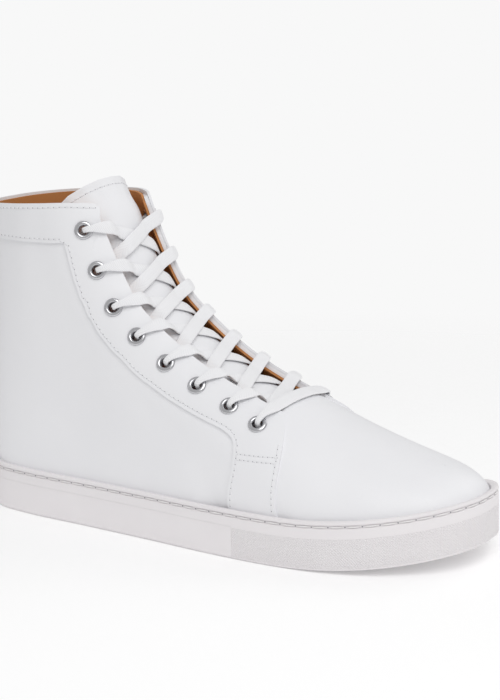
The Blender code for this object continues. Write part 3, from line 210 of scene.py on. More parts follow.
def table(col, s):
    """Rib table value, with a true corner where the collar meets the ridge."""
    s = np.asarray(s, float)
    a = catmull(RIBS[:KC + 1, 0], RIBS[:KC + 1, col], np.clip(s, 0, CORNER))
    b = catmull(RIBS[KC:, 0], RIBS[KC:, col], np.clip(s, CORNER, 1))
    return np.where(s <= CORNER, a, b)


RIDGE_S = np.linspace(CORNER, 1, 140)
RIDGE = np.stack([table(1, RIDGE_S), table(3, RIDGE_S)], 1)
RIDGE_START = (RIDGE[1:2] - RIDGE[:1]) / np.linalg.norm(RIDGE[1] - RIDGE[0])
RIDGE_UP = RIDGE[:1] - RIDGE_START * np.array([[60.0], [30.0], [10.0]])
RIDGE_LINE = np.concatenate([RIDGE_UP, RIDGE])
ROUND_TOP = 33.0           # depth over which the shaft rounds off to its ridge
ROUND_LOW = 27.0           # the same at the bottom of the throat
ROUND_POWER = 2.4


RIDGE_A, RIDGE_D = RIDGE_LINE[:-1], np.diff(RIDGE_LINE, axis=0)
RIDGE_DD = np.maximum((RIDGE_D ** 2).sum(1), 1e-12)


def ridge_distance(x, z):
    """Side-view distance to the ridge line."""
    px, pz = np.ravel(x), np.ravel(z)
    best = np.empty(len(px))
    for i in range(0, len(px), 4000):
        ax = px[i:i + 4000, None] - RIDGE_A[None, :, 0]
        az = pz[i:i + 4000, None] - RIDGE_A[None, :, 1]
        k = np.clip((ax * RIDGE_D[:, 0] + az * RIDGE_D[:, 1]) / RIDGE_DD, 0, 1)
        best[i:i + 4000] = ((ax - k * RIDGE_D[:, 0]) ** 2 + (az - k * RIDGE_D[:, 1]) ** 2).min(1)
    return np.sqrt(best).reshape(np.shape(x))


def shaft_half(side, x, z):
    """Half width of the shaft and instep at a side-view point."""
    foot = abs(np.interp(x, HALF[side][:, 0], HALF[side][:, 1])) - INSET
    w = SHAFT_HALF + 1.0 + (foot - SHAFT_HALF - 1.0) * (1 - smooth(z, 11, 112))
    r = ROUND_TOP + (ROUND_LOW - ROUND_TOP) * smooth(x, 95, 190)
    q = np.clip(1 - ridge_distance(x, z) / r, 0, 1)
    return w * (1 - q ** ROUND_POWER) ** (1 / ROUND_POWER)


def rib(side, s, t):
    """Point on the inside face: s heel to toe, t from the feather edge up."""
    s, t = np.broadcast_arrays(np.asarray(s, float), np.asarray(t, float))
    arc = s * ARC
    e = edge_at(side, s)
    bump = smooth(arc, 186, 200) * (1 - smooth(arc, 230, 246)) + (1 - smooth(arc, 10, 30))
    b2 = edge_inset(side, s, INSET + OVERLAP_INSET * bump)
    bz = FEATHER_HEIGHT + ground(e[..., 0])
    tx, ty, tz = table(1, s), table(2, s), table(3, s)
    sgn = np.where(arc > 134.0, 1.0, float(side))
    ty = ty * sgn
    k1, k2 = table(4, s) * HEIGHT_SCALE, table(5, s)
    h = tz - bz
    # lower end: up and a little outwards; the shaft narrows towards one half width
    heel = 1 - smooth(arc, 20, 80)
    out = -inward_at(side, s)
    bulge = 3.5 * heel + 1.5 * (1 - heel) + 1.8 * smooth(arc, 280, 320)
    lam = 0.85 * smooth(arc, 40, 75) * (1 - smooth(arc, 165, 236))
    lean = (tx - b2[..., 0]) * (k1 / h) * 0.75 * (1 - heel) * (1 - smooth(arc, 236, 300))
    p1 = np.stack([b2[..., 0] + out[..., 0] * bulge + lean - table(8, s),
                   side * (abs(b2[..., 1]) * (1 - lam) + SHAFT_HALF * lam) + out[..., 1] * bulge * (1 - lam),
                   bz + k1], -1)
    p1[..., 1] = np.where(arc > 300, b2[..., 1] + out[..., 1] * bulge, p1[..., 1])
    # upper end: level across the ridge, along the shaft at the collar
    beta = smooth(arc, 236, 343)
    dx = (tx - b2[..., 0]) * beta
    dy = ty - b2[..., 1]
    eps = 1e-3
    zx = table(1, np.clip(s + eps, 0, 1)) - table(1, np.clip(s - eps, 0, 1))
    m = (table(3, np.clip(s + eps, 0, 1)) - table(3, np.clip(s - eps, 0, 1))) / np.where(abs(zx) < 1e-6, 1e-6, zx)
    m = np.where(arc > 236, m, 0)
    inward = np.stack([dx, dy, m * dx], -1)
    inward /= np.maximum(np.linalg.norm(inward, axis=-1, keepdims=True), 1e-6)
    plain = np.stack([-table(7, s), -float(side) * k2, table(6, s)], -1)
    handle = np.where((arc > 236)[..., None], inward * k2[..., None], plain)
    top = np.stack([tx, ty, tz], -1)
    p0 = np.stack([b2[..., 0], b2[..., 1], bz], -1)
    p2 = top - handle
    t = t[..., None]
    p = (1 - t) ** 3 * p0 + 3 * t * (1 - t) ** 2 * p1 + 3 * t * t * (1 - t) * p2 + t ** 3 * top
    blend = smooth(arc, 66, 100) * (1 - smooth(arc, 228, 268)) * smooth(t[..., 0], 0.03, 0.3)
    blend = blend * np.where(arc > 134.0, 1 - smooth(t[..., 0], 0.94, 1.0), 1.0)     # the ridge itself stays as drawn
    if np.any(blend > 0):
        y = side * shaft_half(side, p[..., 0], p[..., 2])
        p[..., 1] += (y - p[..., 1]) * blend
    return p


def normal(side, s, t):
    s, t = np.broadcast_arrays(np.asarray(s, float), np.asarray(t, float))
    es, et = 4e-3, 4e-3
    # stay on one side of the collar corner when differencing along the rib table
    s0 = np.clip(s - es, 0, 1)
    s1 = np.clip(s + es, 0, 1)
    s0 = np.where((s >= CORNER) & (s0 < CORNER), CORNER, s0)
    s1 = np.where((s < CORNER) & (s1 > CORNER), CORNER, s1)
    a = rib(side, s1, t) - rib(side, s0, t)
    top = (s >= CORNER) & (t > 1 - et)
    b = rib(side, s, np.where(top, 1.0, t + et)) - rib(side, s, t - et)
    n = np.cross(a, b) * side * -1
    n /= np.maximum(np.linalg.norm(n, axis=-1, keepdims=True), 1e-9)
    mid = (s < 1e-6) | (s > 1 - 1e-6) | ((s >= CORNER) & (t > 1 - 1e-6))
    n[..., 1] = np.where(mid, 0, n[..., 1])
    return n / np.maximum(np.linalg.norm(n, axis=-1, keepdims=True), 1e-9)


def surf(side, s, t, off=0.0):
    n = normal(side, s, t)
    return rib(side, s, t) + n * np.asarray(off, float)[..., None]


# lookup from a side-view point to (s, t)
LOOK = {}
for sd in (-1, 1):
    gs, gt = np.meshgrid(np.linspace(0, 1, 260), np.linspace(0, 1, 120), indexing="ij")
    LOOK[sd] = (gs, gt, rib(sd, gs, gt))


def world(x, z):
    return x * LENGTH_SCALE, FEATHER_HEIGHT + (z - FEATHER_HEIGHT) * HEIGHT_SCALE


def find(side, x, z, s_min=0.03):
    """(s, t) of the surface point seen at x, z from the side."""
    gs, gt, gp = LOOK[side]
    d = (gp[..., 0] - x) ** 2 + (gp[..., 2] - z) ** 2 + np.where(gs < s_min, 1e6, 0)
    i = np.unravel_index(np.argmin(d), d.shape)
    s, t = gs[i], gt[i]
    for _ in range(6):
        p = rib(side, s, t)
        e = 1e-4
        js = (rib(side, s + e, t) - p) / e
        jt = (rib(side, s, t + e) - p) / e
        j = np.array([[js[0], jt[0]], [js[2], jt[2]]])
        try:
            st = np.linalg.solve(j, np.array([x - p[0], z - p[2]]))
        except np.linalg.LinAlgError:
            break
        s = float(np.clip(s + np.clip(st[0], -0.01, 0.01), 0, 1))
        t = float(np.clip(t + np.clip(st[1], -0.02, 0.02), 0, 1))
    return s, t


def t_at_y(side, s, y):
    """t on rib s where |y| falls to a given half gap."""
    tt = np.linspace(0.35, 1, 400)
    p = rib(side, np.full_like(tt, s), tt)
    d = abs(p[:, 1] - (table(2, s) if s > CORNER else 0.0)) - y
    ok = np.where(d > 0)[0]
    if len(ok) == 0:
        return 1.0
    i = ok[-1]
    if i == len(tt) - 1:
        return 1.0
    return float(tt[i] + (tt[i + 1] - tt[i]) * d[i] / (d[i] - d[i + 1]))


# ---------------------------------------------------------------- materials
def linear(hexa):
    """Scene colour of an sRGB hex value."""
    c = [int(hexa[i:i + 2], 16) / 255 for i in (1, 3, 5)]
    return (*[v / 12.92 if v <= 0.04045 else ((v + 0.055) / 1.055) ** 2.4 for v in c], 1.0)


class Finish:
    """A node material with a Principled shader and short ways to add to it."""

    def __init__(self, name, colour, rough, **principled):
        self.mat = bpy.data.materials.new(name)
        self.mat.use_nodes = True
        self.tree = self.mat.node_tree
        self.shader = self.tree.nodes["Principled BSDF"]
        self.shader.inputs["Base Color"].default_value = linear(colour)
        self.shader.inputs["Roughness"].default_value = rough
        for key, value in principled.items():
            self.shader.inputs[key.replace("_", " ")].default_value = value
        self.height = None

    def node(self, kind, inputs=None, **settings):
        n = self.tree.nodes.new(kind)
        for key, value in settings.items():
            setattr(n, key, value)
        for key, value in (inputs or {}).items():
            if isinstance(value, bpy.types.NodeSocket):
                self.tree.links.new(value, n.inputs[key])
            else:
                n.inputs[key].default_value = value
        return n

    def place(self):
        return self.node("ShaderNodeTexCoord").outputs["Object"]

    def sums(self, op, a, b=0.0):
        n = self.node("ShaderNodeMath", operation=op)
        for i, v in enumerate((a, b)):
            if isinstance(v, bpy.types.NodeSocket):
                self.tree.links.new(v, n.inputs[i])
            else:
                n.inputs[i].default_value = v
        return n.outputs[0]

    def blend(self, factor, low, high, target="Base Color"):
        """Mix two colours or values by a factor into one input of the shader."""
        if target == "Base Color":
            n = self.node("ShaderNodeMix", data_type="RGBA")
            self.tree.links.new(factor, n.inputs["Factor"])
            out = [o for o in n.outputs if o.type == "RGBA"][0]
            n_in = [i for i in n.inputs if i.type == "RGBA"]
            n_in[0].default_value, n_in[1].default_value = linear(low), linear(high)
        else:
            n = self.node("ShaderNodeMapRange", {"Value": factor, "To Min": low, "To Max": high})
            out = n.outputs[0]
        self.tree.links.new(out, self.shader.inputs[target])

    def bump(self, height, distance, strength=1.0):
        n = self.node("ShaderNodeBump", {"Height": height, "Distance": distance, "Strength": strength})
        if self.height is not None:
            self.tree.links.new(self.height, n.inputs["Normal"])
        self.height = n.outputs["Normal"]
        self.tree.links.new(self.height, self.shader.inputs["Normal"])


def leather(name, light, dark, rough, grain_mm, depth_mm, crease_mm):
    """Smooth leather: fine cell grain, soft creases, a slow change of tone and of shine."""
    f = Finish(name, light, rough, Specular_IOR_Level=0.45)
    cells = f.node("ShaderNodeTexVoronoi", {"Vector": f.place(), "Scale": 1000 / grain_mm},
                   feature="DISTANCE_TO_EDGE")
    pebble = f.node("ShaderNodeMapRange", {"Value": cells.outputs["Distance"], "From Max": 0.25})
    tone = f.node("ShaderNodeTexNoise", {"Vector": f.place(), "Scale": 22.0, "Detail": 3.0})
    crease = f.node("ShaderNodeTexNoise", {"Vector": f.place(), "Scale": 38.0, "Detail": 2.0, "Distortion": 0.6})
    f.blend(tone.outputs["Fac"], dark, light)
    f.blend(tone.outputs["Fac"], rough - 0.05, rough + 0.06, "Roughness")
    f.bump(crease.outputs["Fac"], crease_mm * MM, 0.6)
    f.bump(pebble.outputs["Result"], depth_mm * MM, 0.5)
    return f.mat


def rubber():
    """Moulded rubber: satin band and rear, fine diamond texture round the forefoot below the band."""
    f = Finish("moulded sole rubber", "#F0EDEE", 0.5, Specular_IOR_Level=0.4)
    uv = f.node("ShaderNodeUVMap", uv_map="wall").outputs[0]
    split = f.node("ShaderNodeSeparateXYZ", {"Vector": uv})
    along, up = split.outputs["X"], split.outputs["Y"]
    pitch = 1.45
    a = f.sums("ABSOLUTE", f.sums("SINE", f.sums("MULTIPLY", f.sums("ADD", along, up), math.pi / pitch)))
    b = f.sums("ABSOLUTE", f.sums("SINE", f.sums("MULTIPLY", f.sums("SUBTRACT", along, up), math.pi / pitch)))
    diamond = f.sums("MINIMUM", a, b)
    x = f.node("ShaderNodeSeparateXYZ", {"Vector": f.place()}).outputs["X"]
    front = f.sums("GREATER_THAN", x, (KNURL_X - CENTRE[0]) * MM)
    low = f.sums("LESS_THAN", up, KNURL_TOP)
    above = f.sums("GREATER_THAN", up, 1.2)
    mask = f.sums("MULTIPLY", f.sums("MULTIPLY", front, low), above)
    f.bump(f.sums("MULTIPLY", diamond, mask), 0.22 * MM, 0.9)
    step = f.sums("MULTIPLY", f.sums("GREATER_THAN", up, STEP_Z), f.sums("SUBTRACT", 1.0, front))
    f.bump(f.sums("ADD", f.sums("MULTIPLY", step, 0.6), f.sums("MULTIPLY", front, 0.35)), 0.4 * MM)
    grime = f.node("ShaderNodeTexNoise", {"Vector": f.place(), "Scale": 60.0, "Detail": 4.0})
    f.blend(grime.outputs["Fac"], "#EAE6E8", "#EFECED")
    return f.mat


def woven(name, colour, shade, across, along_pitch):
    """Flat woven band: chevrons of yarn across its width, softly fuzzy, with painted shade in the grooves between
    yarns.
    """
    f = Finish(name, colour, 0.85, Sheen_Weight=0.35, Sheen_Roughness=0.5)
    uv = f.node("ShaderNodeUVMap", uv_map="band").outputs[0]
    split = f.node("ShaderNodeSeparateXYZ", {"Vector": uv})
    side = f.sums("ABSOLUTE", split.outputs["Y"])
    ramp = f.sums("ADD", f.sums("DIVIDE", split.outputs["X"], along_pitch), f.sums("DIVIDE", side, across))
    yarn = f.sums("ABSOLUTE", f.sums("SINE", f.sums("MULTIPLY", ramp, math.pi)))
    cords = f.sums("ABSOLUTE", f.sums("SINE", f.sums("MULTIPLY", split.outputs["Y"], math.pi / 0.55)))
    relief = f.sums("ADD", f.sums("MULTIPLY", yarn, 0.6), f.sums("MULTIPLY", cords, 0.4))
    # painted shade: the colour darkens to the shade value where the relief is low, in the grooves between yarns and
    # cords
    f.blend(relief, shade, colour)
    f.bump(relief, 0.16 * MM, 0.8)
    return f.mat


def metal():
    """Bright nickel plate with faint tumbling marks."""
    f = Finish("bright nickel plate", "#C9C9CC", 0.2, Metallic=1.0)
    marks = f.node("ShaderNodeTexNoise", {"Vector": f.place(), "Scale": 900.0, "Detail": 3.0})
    f.blend(marks.outputs["Fac"], 0.14, 0.3, "Roughness")
    f.bump(marks.outputs["Fac"], 0.02 * MM, 0.4)
    return f.mat


def plain(name, colour, rough, grain=400.0, depth=0.1):
    """Even material with a fine random texture."""
    f = Finish(name, colour, rough)
    n = f.node("ShaderNodeTexNoise", {"Vector": f.place(), "Scale": grain, "Detail": 4.0})
    f.bump(n.outputs["Fac"], depth * MM, 0.6)
    return f.mat


KNURL_X = 184.0            # the diamond texture starts here and runs round the toe
KNURL_TOP = 15.8           # and stays below the smooth band
STEP_Z = 16.4              # small step in the rear of the wall
CENTRE = (*((EDGE.max(0) + EDGE.min(0)) / 2), 0.0)

LOOKS = {
    "upper leather": leather("smooth white leather", "#F3F3F5", "#EEEEF1", 0.42, 0.55, 0.05, 0.5),
    "lining leather": leather("tan lining leather", "#CB8B52", "#BC7A42", 0.6, 0.7, 0.07, 0.2),
    "sole rubber": rubber(),
    "eyelet metal": metal(),
    # the second lace colour is painted shade for the grooves of the weave
    "lace cotton": woven("woven cotton lace", "#FAFAFB", "#E6E6EA", 1.3, 1.1),
    "thread": plain("polyester sewing thread", "#EDEDEF", 0.7, 3000.0, 0.05),
    "sole thread": plain("waxed sole thread", "#F1EFEF", 0.6, 2500.0, 0.06),
    # grey for the needle-hole discs: painted shade of the dents between stitches
    "needle hole": plain("needle hole shade", "#9C9CA0", 0.9),
    "foam": plain("cream foam", "#E9E2C8", 0.9, 1500.0, 0.2),
    "board": plain("fibre board", "#C9AE86", 0.9, 900.0, 0.1),
    "stiffener": plain("stiffener sheet", "#D8D3C6", 0.7),
    "footbed": leather("tan footbed leather", "#C98A52", "#B97843", 0.62, 0.8, 0.08, 0.2),
    "tip plastic": plain("clear-white tip plastic", "#F4F4F4", 0.3),
}
TONGUE_BODY = ("tongue", "tongue_foam", "tongue_lining")


# ---------------------------------------------------------------- mesh helpers
def mesh_object(name, verts, faces, kind):
    """Mesh object in the row frame from points in millimetres."""
    me = bpy.data.meshes.new(name)
    me.from_pydata([tuple(float(c - o) * MM for c, o in zip(v, CENTRE)) for v in verts], [],
                   [tuple(int(i) for i in f) for f in faces])
    bm = bmesh.new()
    bm.from_mesh(me)
    bmesh.ops.remove_doubles(bm, verts=bm.verts, dist=1e-6)
    bmesh.ops.recalc_face_normals(bm, faces=bm.faces)
    bm.to_mesh(me)
    bm.free()
    ob = bpy.data.objects.new(name, me)
    bpy.context.collection.objects.link(ob)
    me.materials.append(LOOKS[kind])
    return ob


def soften(ob, angle=38, width=0.0):
    """Smooth shading with crisp folds, and rolled edges where a width is given."""
    if width:
        mod = ob.modifiers.new("rolled edge", "BEVEL")
        mod.width = width * MM
        mod.segments = 2
        mod.limit_method = "ANGLE"
        mod.angle_limit = math.radians(50)
    ob.data.shade_smooth()
    ob.data.set_sharp_from_angle(angle=math.radians(angle))
    return ob


def add(name, verts, faces, kind, width=0.0, body=None):
    """A finished piece standing for the CAD node of that name."""
    ob = mesh_object(name + "_look", verts, faces, kind)
    soften(ob, width=width)
    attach(ob, body or ("tongue_flap" if name in TONGUE_BODY else "shoe"))
    if name in frame["nodes"]:
        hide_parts(name)
    return ob


def grid_faces(nu, nv, index):
    f = []
    for i in range(nu - 1):
        for j in range(nv - 1):
            f.append((index[i, j], index[i + 1, j], index[i + 1, j + 1], index[i, j + 1]))
    return f


def thick(name, inner, outer, index, kind, width=0.3):
    """Closed sheet between two point grids that share one index grid."""
    inner, outer = np.asarray(inner).reshape(-1, 3), np.asarray(outer).reshape(-1, 3)
    nu, nv = index.shape
    quads = grid_faces(nu, nv, index)
    n = len(inner)
    faces = []
    edges = {}
    for q in quads:
        q = [v for k, v in enumerate(q) if v != q[k - 1]]
        if len(q) < 3:
            continue
        faces.append(tuple(v + n for v in q))
        faces.append(tuple(reversed(q)))
        for a, b in zip(q, q[1:] + q[:1]):
            edges[(a, b)] = 1
    for (a, b) in list(edges):
        if (b, a) not in edges:
            faces.append((b, a, a + n, b + n)[::-1])
    return add(name, np.concatenate([inner, outer]), faces, kind, width)


def panel(name, side, S, T, lay, kind, flip=False):
    """Sheet on one side of the upper over matching grids of s and t."""
    nrm = normal(side, S, T)
    base = rib(side, S, T)
    inner = base + nrm * lay[0]
    outer = base + nrm * lay[1]
    idx = np.arange(S.size).reshape(S.shape)
    return thick(name, inner, outer, idx, kind)


def cut(ob, cutter):
    """Punch holes; the Boolean comes before the rolled edge."""
    mod = ob.modifiers.new("holes", "BOOLEAN")
    mod.object = cutter
    mod.operation = "DIFFERENCE"
    mod.solver = "EXACT"
    ob.modifiers.move(len(ob.modifiers) - 1, 0)
    cutter.hide_render = True
    cutter.hide_viewport = False
    cutter.display_type = "WIRE"


# ---------------------------------------------------------------- throat and eyelets
THROAT_S0 = 124.0 / ARC        # facing's top front corner
THROAT_S1 = 234.5 / ARC        # front corner of the flap


def half_gap(s):
    k = np.clip((s - THROAT_S0) / (THROAT_S1 - THROAT_S0), 0, 1)
    return THROAT_GAP_TOP + (THROAT_GAP_LOW - THROAT_GAP_TOP) * k


def throat_edge(side, n):
    """Points (s, t) of the facing edge from the collar corner to the flap corner."""
    ss = np.linspace(THROAT_S0, THROAT_S1, n)
    return ss, np.array([t_at_y(side, s, half_gap(s)) for s in ss])


# eyelet stations from the collar down: x, z of the hole centre on the leather's face
EYELETS = [(85.3, 154.9), (93.3, 134.8), (103.1, 116.4), (117.0, 102.5), (134.6, 90.4), (153.3, 80.8),
           (172.8, 72.5), (190.0, 65.4)]
def find_face(side, x, z):
    """(s, t) whose leather face, not the inside face, is at x, z seen from the side."""
    ex, ez = world(x, z)
    tx_, tz_ = ex, ez
    for _ in range(9):
        s_, t_ = find(side, tx_, tz_)
        p_ = surf(side, s_, t_, OVER[1])
        tx_ += (ex - p_[0]) * 0.8
        tz_ += (ez - p_[2]) * 0.8
    return s_, t_


EYELET_ST = {sd: [find_face(sd, *e) for e in EYELETS] for sd in (-1, 1)}


BACKING_END = max(EYELET_ST[sd][-1][0] for sd in (-1, 1)) * ARC + 4.2    # just past the last holes


def frame_at(side, s, t):
    """Origin, across (towards the throat), along (towards the collar), outwards."""
    p = rib(side, s, t)
    n = normal(side, s, t)
    acr = np.array([0.0, -float(side), 0.0])
    acr = acr - n * (acr @ n)
    acr /= np.linalg.norm(acr)
    al = np.cross(n, acr)
    if al[2] < 0:
        al = -al
    return p, acr, al, n


def hole_cutter(side, diam, lo, hi, name):
    verts, faces = [], []
    for (s, t) in EYELET_ST[side]:
        p, a, b, n = frame_at(side, s, t)
        k = len(verts)
        m = 20
        for z in (lo, hi):
            for i in range(m):
                th = 2 * math.pi * (i + 0.5) / m
                verts.append(p + (a * math.cos(th) + b * math.sin(th)) * diam / 2 + n * z)
        faces.append(tuple(k + i for i in reversed(range(m))))
        faces.append(tuple(k + m + i for i in range(m)))
        for i in range(m):
            j = (i + 1) % m
            faces.append((k + i, k + j, k + m + j, k + m + i))
    return mesh_object(name, verts, faces, "eyelet metal")


# ---------------------------------------------------------------- sole
def half_stations(m):
    """Outline fractions, evenly spaced from heel to toe."""
    return np.linspace(0, 1, m + 1)


def loop(inset, z, m):
    """Ring of points: heel, lateral side, toe, medial side."""
    s = half_stations(m)
    lat = edge_inset(-1, s, np.full_like(s, inset))
    med = edge_inset(1, s, np.full_like(s, inset))
    mid0, mid1 = (lat[0] + med[0]) / 2, (lat[-1] + med[-1]) / 2
    ring = np.concatenate([[mid0], lat[1:-1], [mid1], med[-2:0:-1]])
    return np.c_[ring, z + ground(ring[:, 0])]


def cap_faces(base, m, up):
    """Close a ring with cross strips."""
    n = 2 * m
    f = [(base, base + 1, base + n - 1)]
    for k in range(1, m - 1):
        f.append((base + k, base + k + 1, base + n - k - 1, base + n - k))
    f.append((base + m - 1, base + m, base + m + 1))
    return [tuple(q) if up else tuple(reversed(q)) for q in f]


def stack(name, profile, m, kind, width=0.0):
    """Solid from rings given as (inset, height), capped at both ends, with its wall unrolled as a UV map."""
    rings = [loop(i, z, m) for i, z in profile]
    n = 2 * m
    closed = np.r_[rings[1], rings[1][:1]]
    around = np.concatenate([[0], np.cumsum(np.linalg.norm(np.diff(closed, axis=0), axis=1))])
    verts, faces, uvs = np.concatenate(rings), [], []
    for k in range(len(profile) - 1):
        a, b = k * n, (k + 1) * n
        za, zb = profile[k][1], profile[k + 1][1]
        for i in range(n):
            j = (i + 1) % n
            faces.append((a + i, a + j, b + j, b + i))
            uvs.append([(around[i], za), (around[i + 1], za), (around[i + 1], zb), (around[i], zb)])
    for f in cap_faces(0, m, False) + cap_faces((len(profile) - 1) * n, m, True):
        faces.append(f)
        uvs.append([(0.0, 0.0)] * len(f))
    ob = add_mapped(name, verts, faces, uvs, kind, "wall")
    if width:
        soften(ob, width=width)
    return ob


def add_mapped(name, verts, faces, uvs, kind, layer):
    """As add, with UVs in millimetres for each face corner."""
    me = bpy.data.meshes.new(name + "_look")
    me.from_pydata([tuple(float(c - o) * MM for c, o in zip(v, CENTRE)) for v in verts], [],
                   [tuple(int(i) for i in f) for f in faces])
    uv = me.uv_layers.new(name=layer)
    flat = [c for f in uvs for p in f for c in p]
    uv.data.foreach_set("uv", flat)
    bm = bmesh.new()
    bm.from_mesh(me)
    bmesh.ops.recalc_face_normals(bm, faces=bm.faces)
    bm.to_mesh(me)
    bm.free()
    ob = bpy.data.objects.new(name + "_look", me)
    bpy.context.collection.objects.link(ob)
    me.materials.append(LOOKS[kind])
    soften(ob)
    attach(ob, "shoe")
    if name in frame["nodes"]:
        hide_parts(name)
    return ob


GROOVE_Z = WALL_HEIGHT - 2.7
SEAT = INSET - OUTER[1] - 0.1          # inner face of the lip, close against the upper
stack("outsole", [(1.2, 0.0), (0.35, 0.35), (0.0, 1.2), (0.0, 8.0), (0.0, STEP_Z - 0.1), (0.12, STEP_Z + 0.2),
                  (0.1, GROOVE_Z - 1.3), (0.35, GROOVE_Z - 0.95), (1.0, GROOVE_Z - 0.6), (1.1, GROOVE_Z),
                  (1.0, GROOVE_Z + 0.6), (0.35, GROOVE_Z + 0.95), (0.1, GROOVE_Z + 1.25), (0.1, WALL_HEIGHT - 0.9),
                  (0.35, WALL_HEIGHT - 0.3), (0.9, WALL_HEIGHT), (WALL_THICK - 0.1, WALL_HEIGHT),
                  (SEAT, WALL_HEIGHT - 0.5), (SEAT + 0.5, SOLE_FLOOR + 6.0), (WALL_THICK + 3.8, SOLE_FLOOR)],
      180, "sole rubber")


# ---------------------------------------------------------------- stitches
def polyline(P, N, pitch):
    """Even stations along a 3-D line: points, normals, directions."""
    seg = np.linalg.norm(np.diff(P, axis=0), axis=1)
    d = np.concatenate([[0], np.cumsum(seg)])
    n = max(2, int(round(d[-1] / pitch)))
    x = (np.arange(n) + 0.5) * d[-1] / n
    at = lambda A, q: np.stack([np.interp(q, d, A[:, c]) for c in range(3)], 1)
    p, nn = at(P, x), at(N, x)
    t = at(P, np.minimum(x + 0.3, d[-1])) - at(P, np.maximum(x - 0.3, 0))
    nn = nn / np.linalg.norm(nn, axis=1, keepdims=True)
    t = t / np.linalg.norm(t, axis=1, keepdims=True)
    return p, nn, t, d[-1] / n


def stitch_row(name, P, N, pitch=3.1, length=2.3, radius=0.3, kind="thread", body="shoe", holes=True):
    """A row of separate thread loops, each sunk at both ends, with a flat grey disc of painted shade for the needle
    hole between them.
    """
    p, n, t, step = polyline(np.asarray(P), np.asarray(N), pitch)
    length = length * step / pitch
    verts, faces, mats = [], [], []
    sides, rings = 6, 5
    for q, m, d in zip(p, n, t):
        b = np.cross(m, d)
        base = len(verts)
        for k in range(rings):
            u = k / (rings - 1) * 2 - 1
            r = radius * math.sqrt(max(1 - u * u, 0.12))
            lift = radius * 0.55 * (1 - u * u) - radius * 0.15
            for i in range(sides):
                a = 2 * math.pi * i / sides
                verts.append(q + d * u * length / 2 + m * (lift + r * math.sin(a)) + b * r * math.cos(a))
        for k in range(rings - 1):
            for i in range(sides):
                j = (i + 1) % sides
                a, b2 = base + k * sides, base + (k + 1) * sides
                faces.append((a + i, a + j, b2 + j, b2 + i))
                mats.append(0)
        faces.append(tuple(base + i for i in reversed(range(sides))))
        faces.append(tuple(base + (rings - 1) * sides + i for i in range(sides)))
        mats += [0, 0]
        # flat grey disc between stitches: painted shade standing in for the dent of the needle hole
        if holes:
            c = q + d * step / 2 + m * 0.05
            base = len(verts)
            for i in range(sides):
                a = 2 * math.pi * i / sides
                verts.append(c + (d * math.cos(a) * 0.9 + b * math.sin(a)) * radius * 0.95)
            faces.append(tuple(base + i for i in range(sides)))
            mats.append(1)
    me = bpy.data.meshes.new(name)
    me.from_pydata([tuple(float(c - o) * MM for c, o in zip(v, CENTRE)) for v in verts], [], faces)
    me.materials.append(LOOKS[kind])
    me.materials.append(LOOKS["needle hole"])
    me.polygons.foreach_set("material_index", mats)
    ob = bpy.data.objects.new(name, me)
    bpy.context.collection.objects.link(ob)
    me.shade_smooth()
    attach(ob, body)
    return ob


def on_leather(side, st, off):
    st = np.asarray(st, float)
    return surf(side, st[:, 0], st[:, 1], off), normal(side, st[:, 0], st[:, 1])


# long lock stitches that lie in the sole's groove
both_p, both_n = [], []
for sd in (-1, 1):
    fr = np.linspace(0, 1, 260)
    q = edge_inset(sd, fr, np.full_like(fr, 0.75))
    pts = np.c_[q, GROOVE_Z + ground(q[:, 0])]
    nrm = np.c_[-inward_at(sd, fr), np.zeros(len(fr))]
    both_p.append(pts if sd < 0 else pts[::-1])
    both_n.append(nrm if sd < 0 else nrm[::-1])
SOLE_PITCH = 8.6
SOLE_STITCH = 7.4
SOLE_THREAD = 0.42
row = stitch_row("sidewall_stitching_look", np.concatenate(both_p), np.concatenate(both_n),
                 SOLE_PITCH, SOLE_STITCH, SOLE_THREAD, "sole thread")
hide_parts("sidewall_stitching")

# ---------------------------------------------------------------- outlines of the leather panels
def t_at_z(side, s, z):
    z = FEATHER_HEIGHT + (z - FEATHER_HEIGHT) * HEIGHT_SCALE
    tt = np.linspace(0, 1, 300)
    p = rib(side, np.full_like(tt, s), tt)[:, 2]
    i = int(np.clip(np.searchsorted(p, z), 1, len(tt) - 1))
    return float(np.clip(tt[i - 1] + (z - p[i - 1]) / max(p[i] - p[i - 1], 1e-9) * (tt[i] - tt[i - 1]), 0, 1))


def resample(pts, n):
    pts = np.array(pts, float)
    seg = np.linalg.norm(np.diff(pts, axis=0), axis=1)
    d = np.concatenate([[0], np.cumsum(seg)])
    x = np.linspace(0, d[-1], n)
    return np.stack([np.interp(x, d, pts[:, k]) for k in range(pts.shape[1])], 1)


BAND_Z = 148.0             # lower edge of the collar band
# rear edge of the facing: down behind the eyelets, then down the front strip
REAR = [(76.0, 147.6), (77.9, 142.4), (79.6, 136.5), (81.8, 129.3), (85.3, 120.6), (90.2, 111.4), (97.0, 102.4),
        (105.7, 94.2), (115.8, 86.8), (127.7, 79.8), (140.4, 73.5), (153.0, 68.7), (165.2, 64.8), (172.0, 62.8),
        (176.4, 61.0), (179.6, 58.8), (181.2, 56.2), (182.0, 51.6)]
REAR_LOW = [(182.0, 51.6), (181.9, 45.9), (180.9, 40.4), (180.0, 36.5), (179.0, 25.5)]
FRONT_LOW = [(202.6, 64.2), (205.7, 58.3), (207.2, 51.5), (207.7, 46.0), (207.6, 38.5), (207.7, 26.4)]
UNDERLAP = 5.6             # how far the quarter runs under the facing


def shifted(pts, d):
    """Side-view line moved towards the throat."""
    p = np.array(pts, float)
    t = np.gradient(p, axis=0)
    t /= np.linalg.norm(t, axis=1, keepdims=True)
    return p + np.stack([-t[:, 1], t[:, 0]], 1) * d


QUARTER_FRONT = [(78.3, 153.6)] + [tuple(v) for v in shifted(REAR, UNDERLAP)]


def st_list(side, pts):
    return np.array([find_face(side, x, z) for x, z in pts])


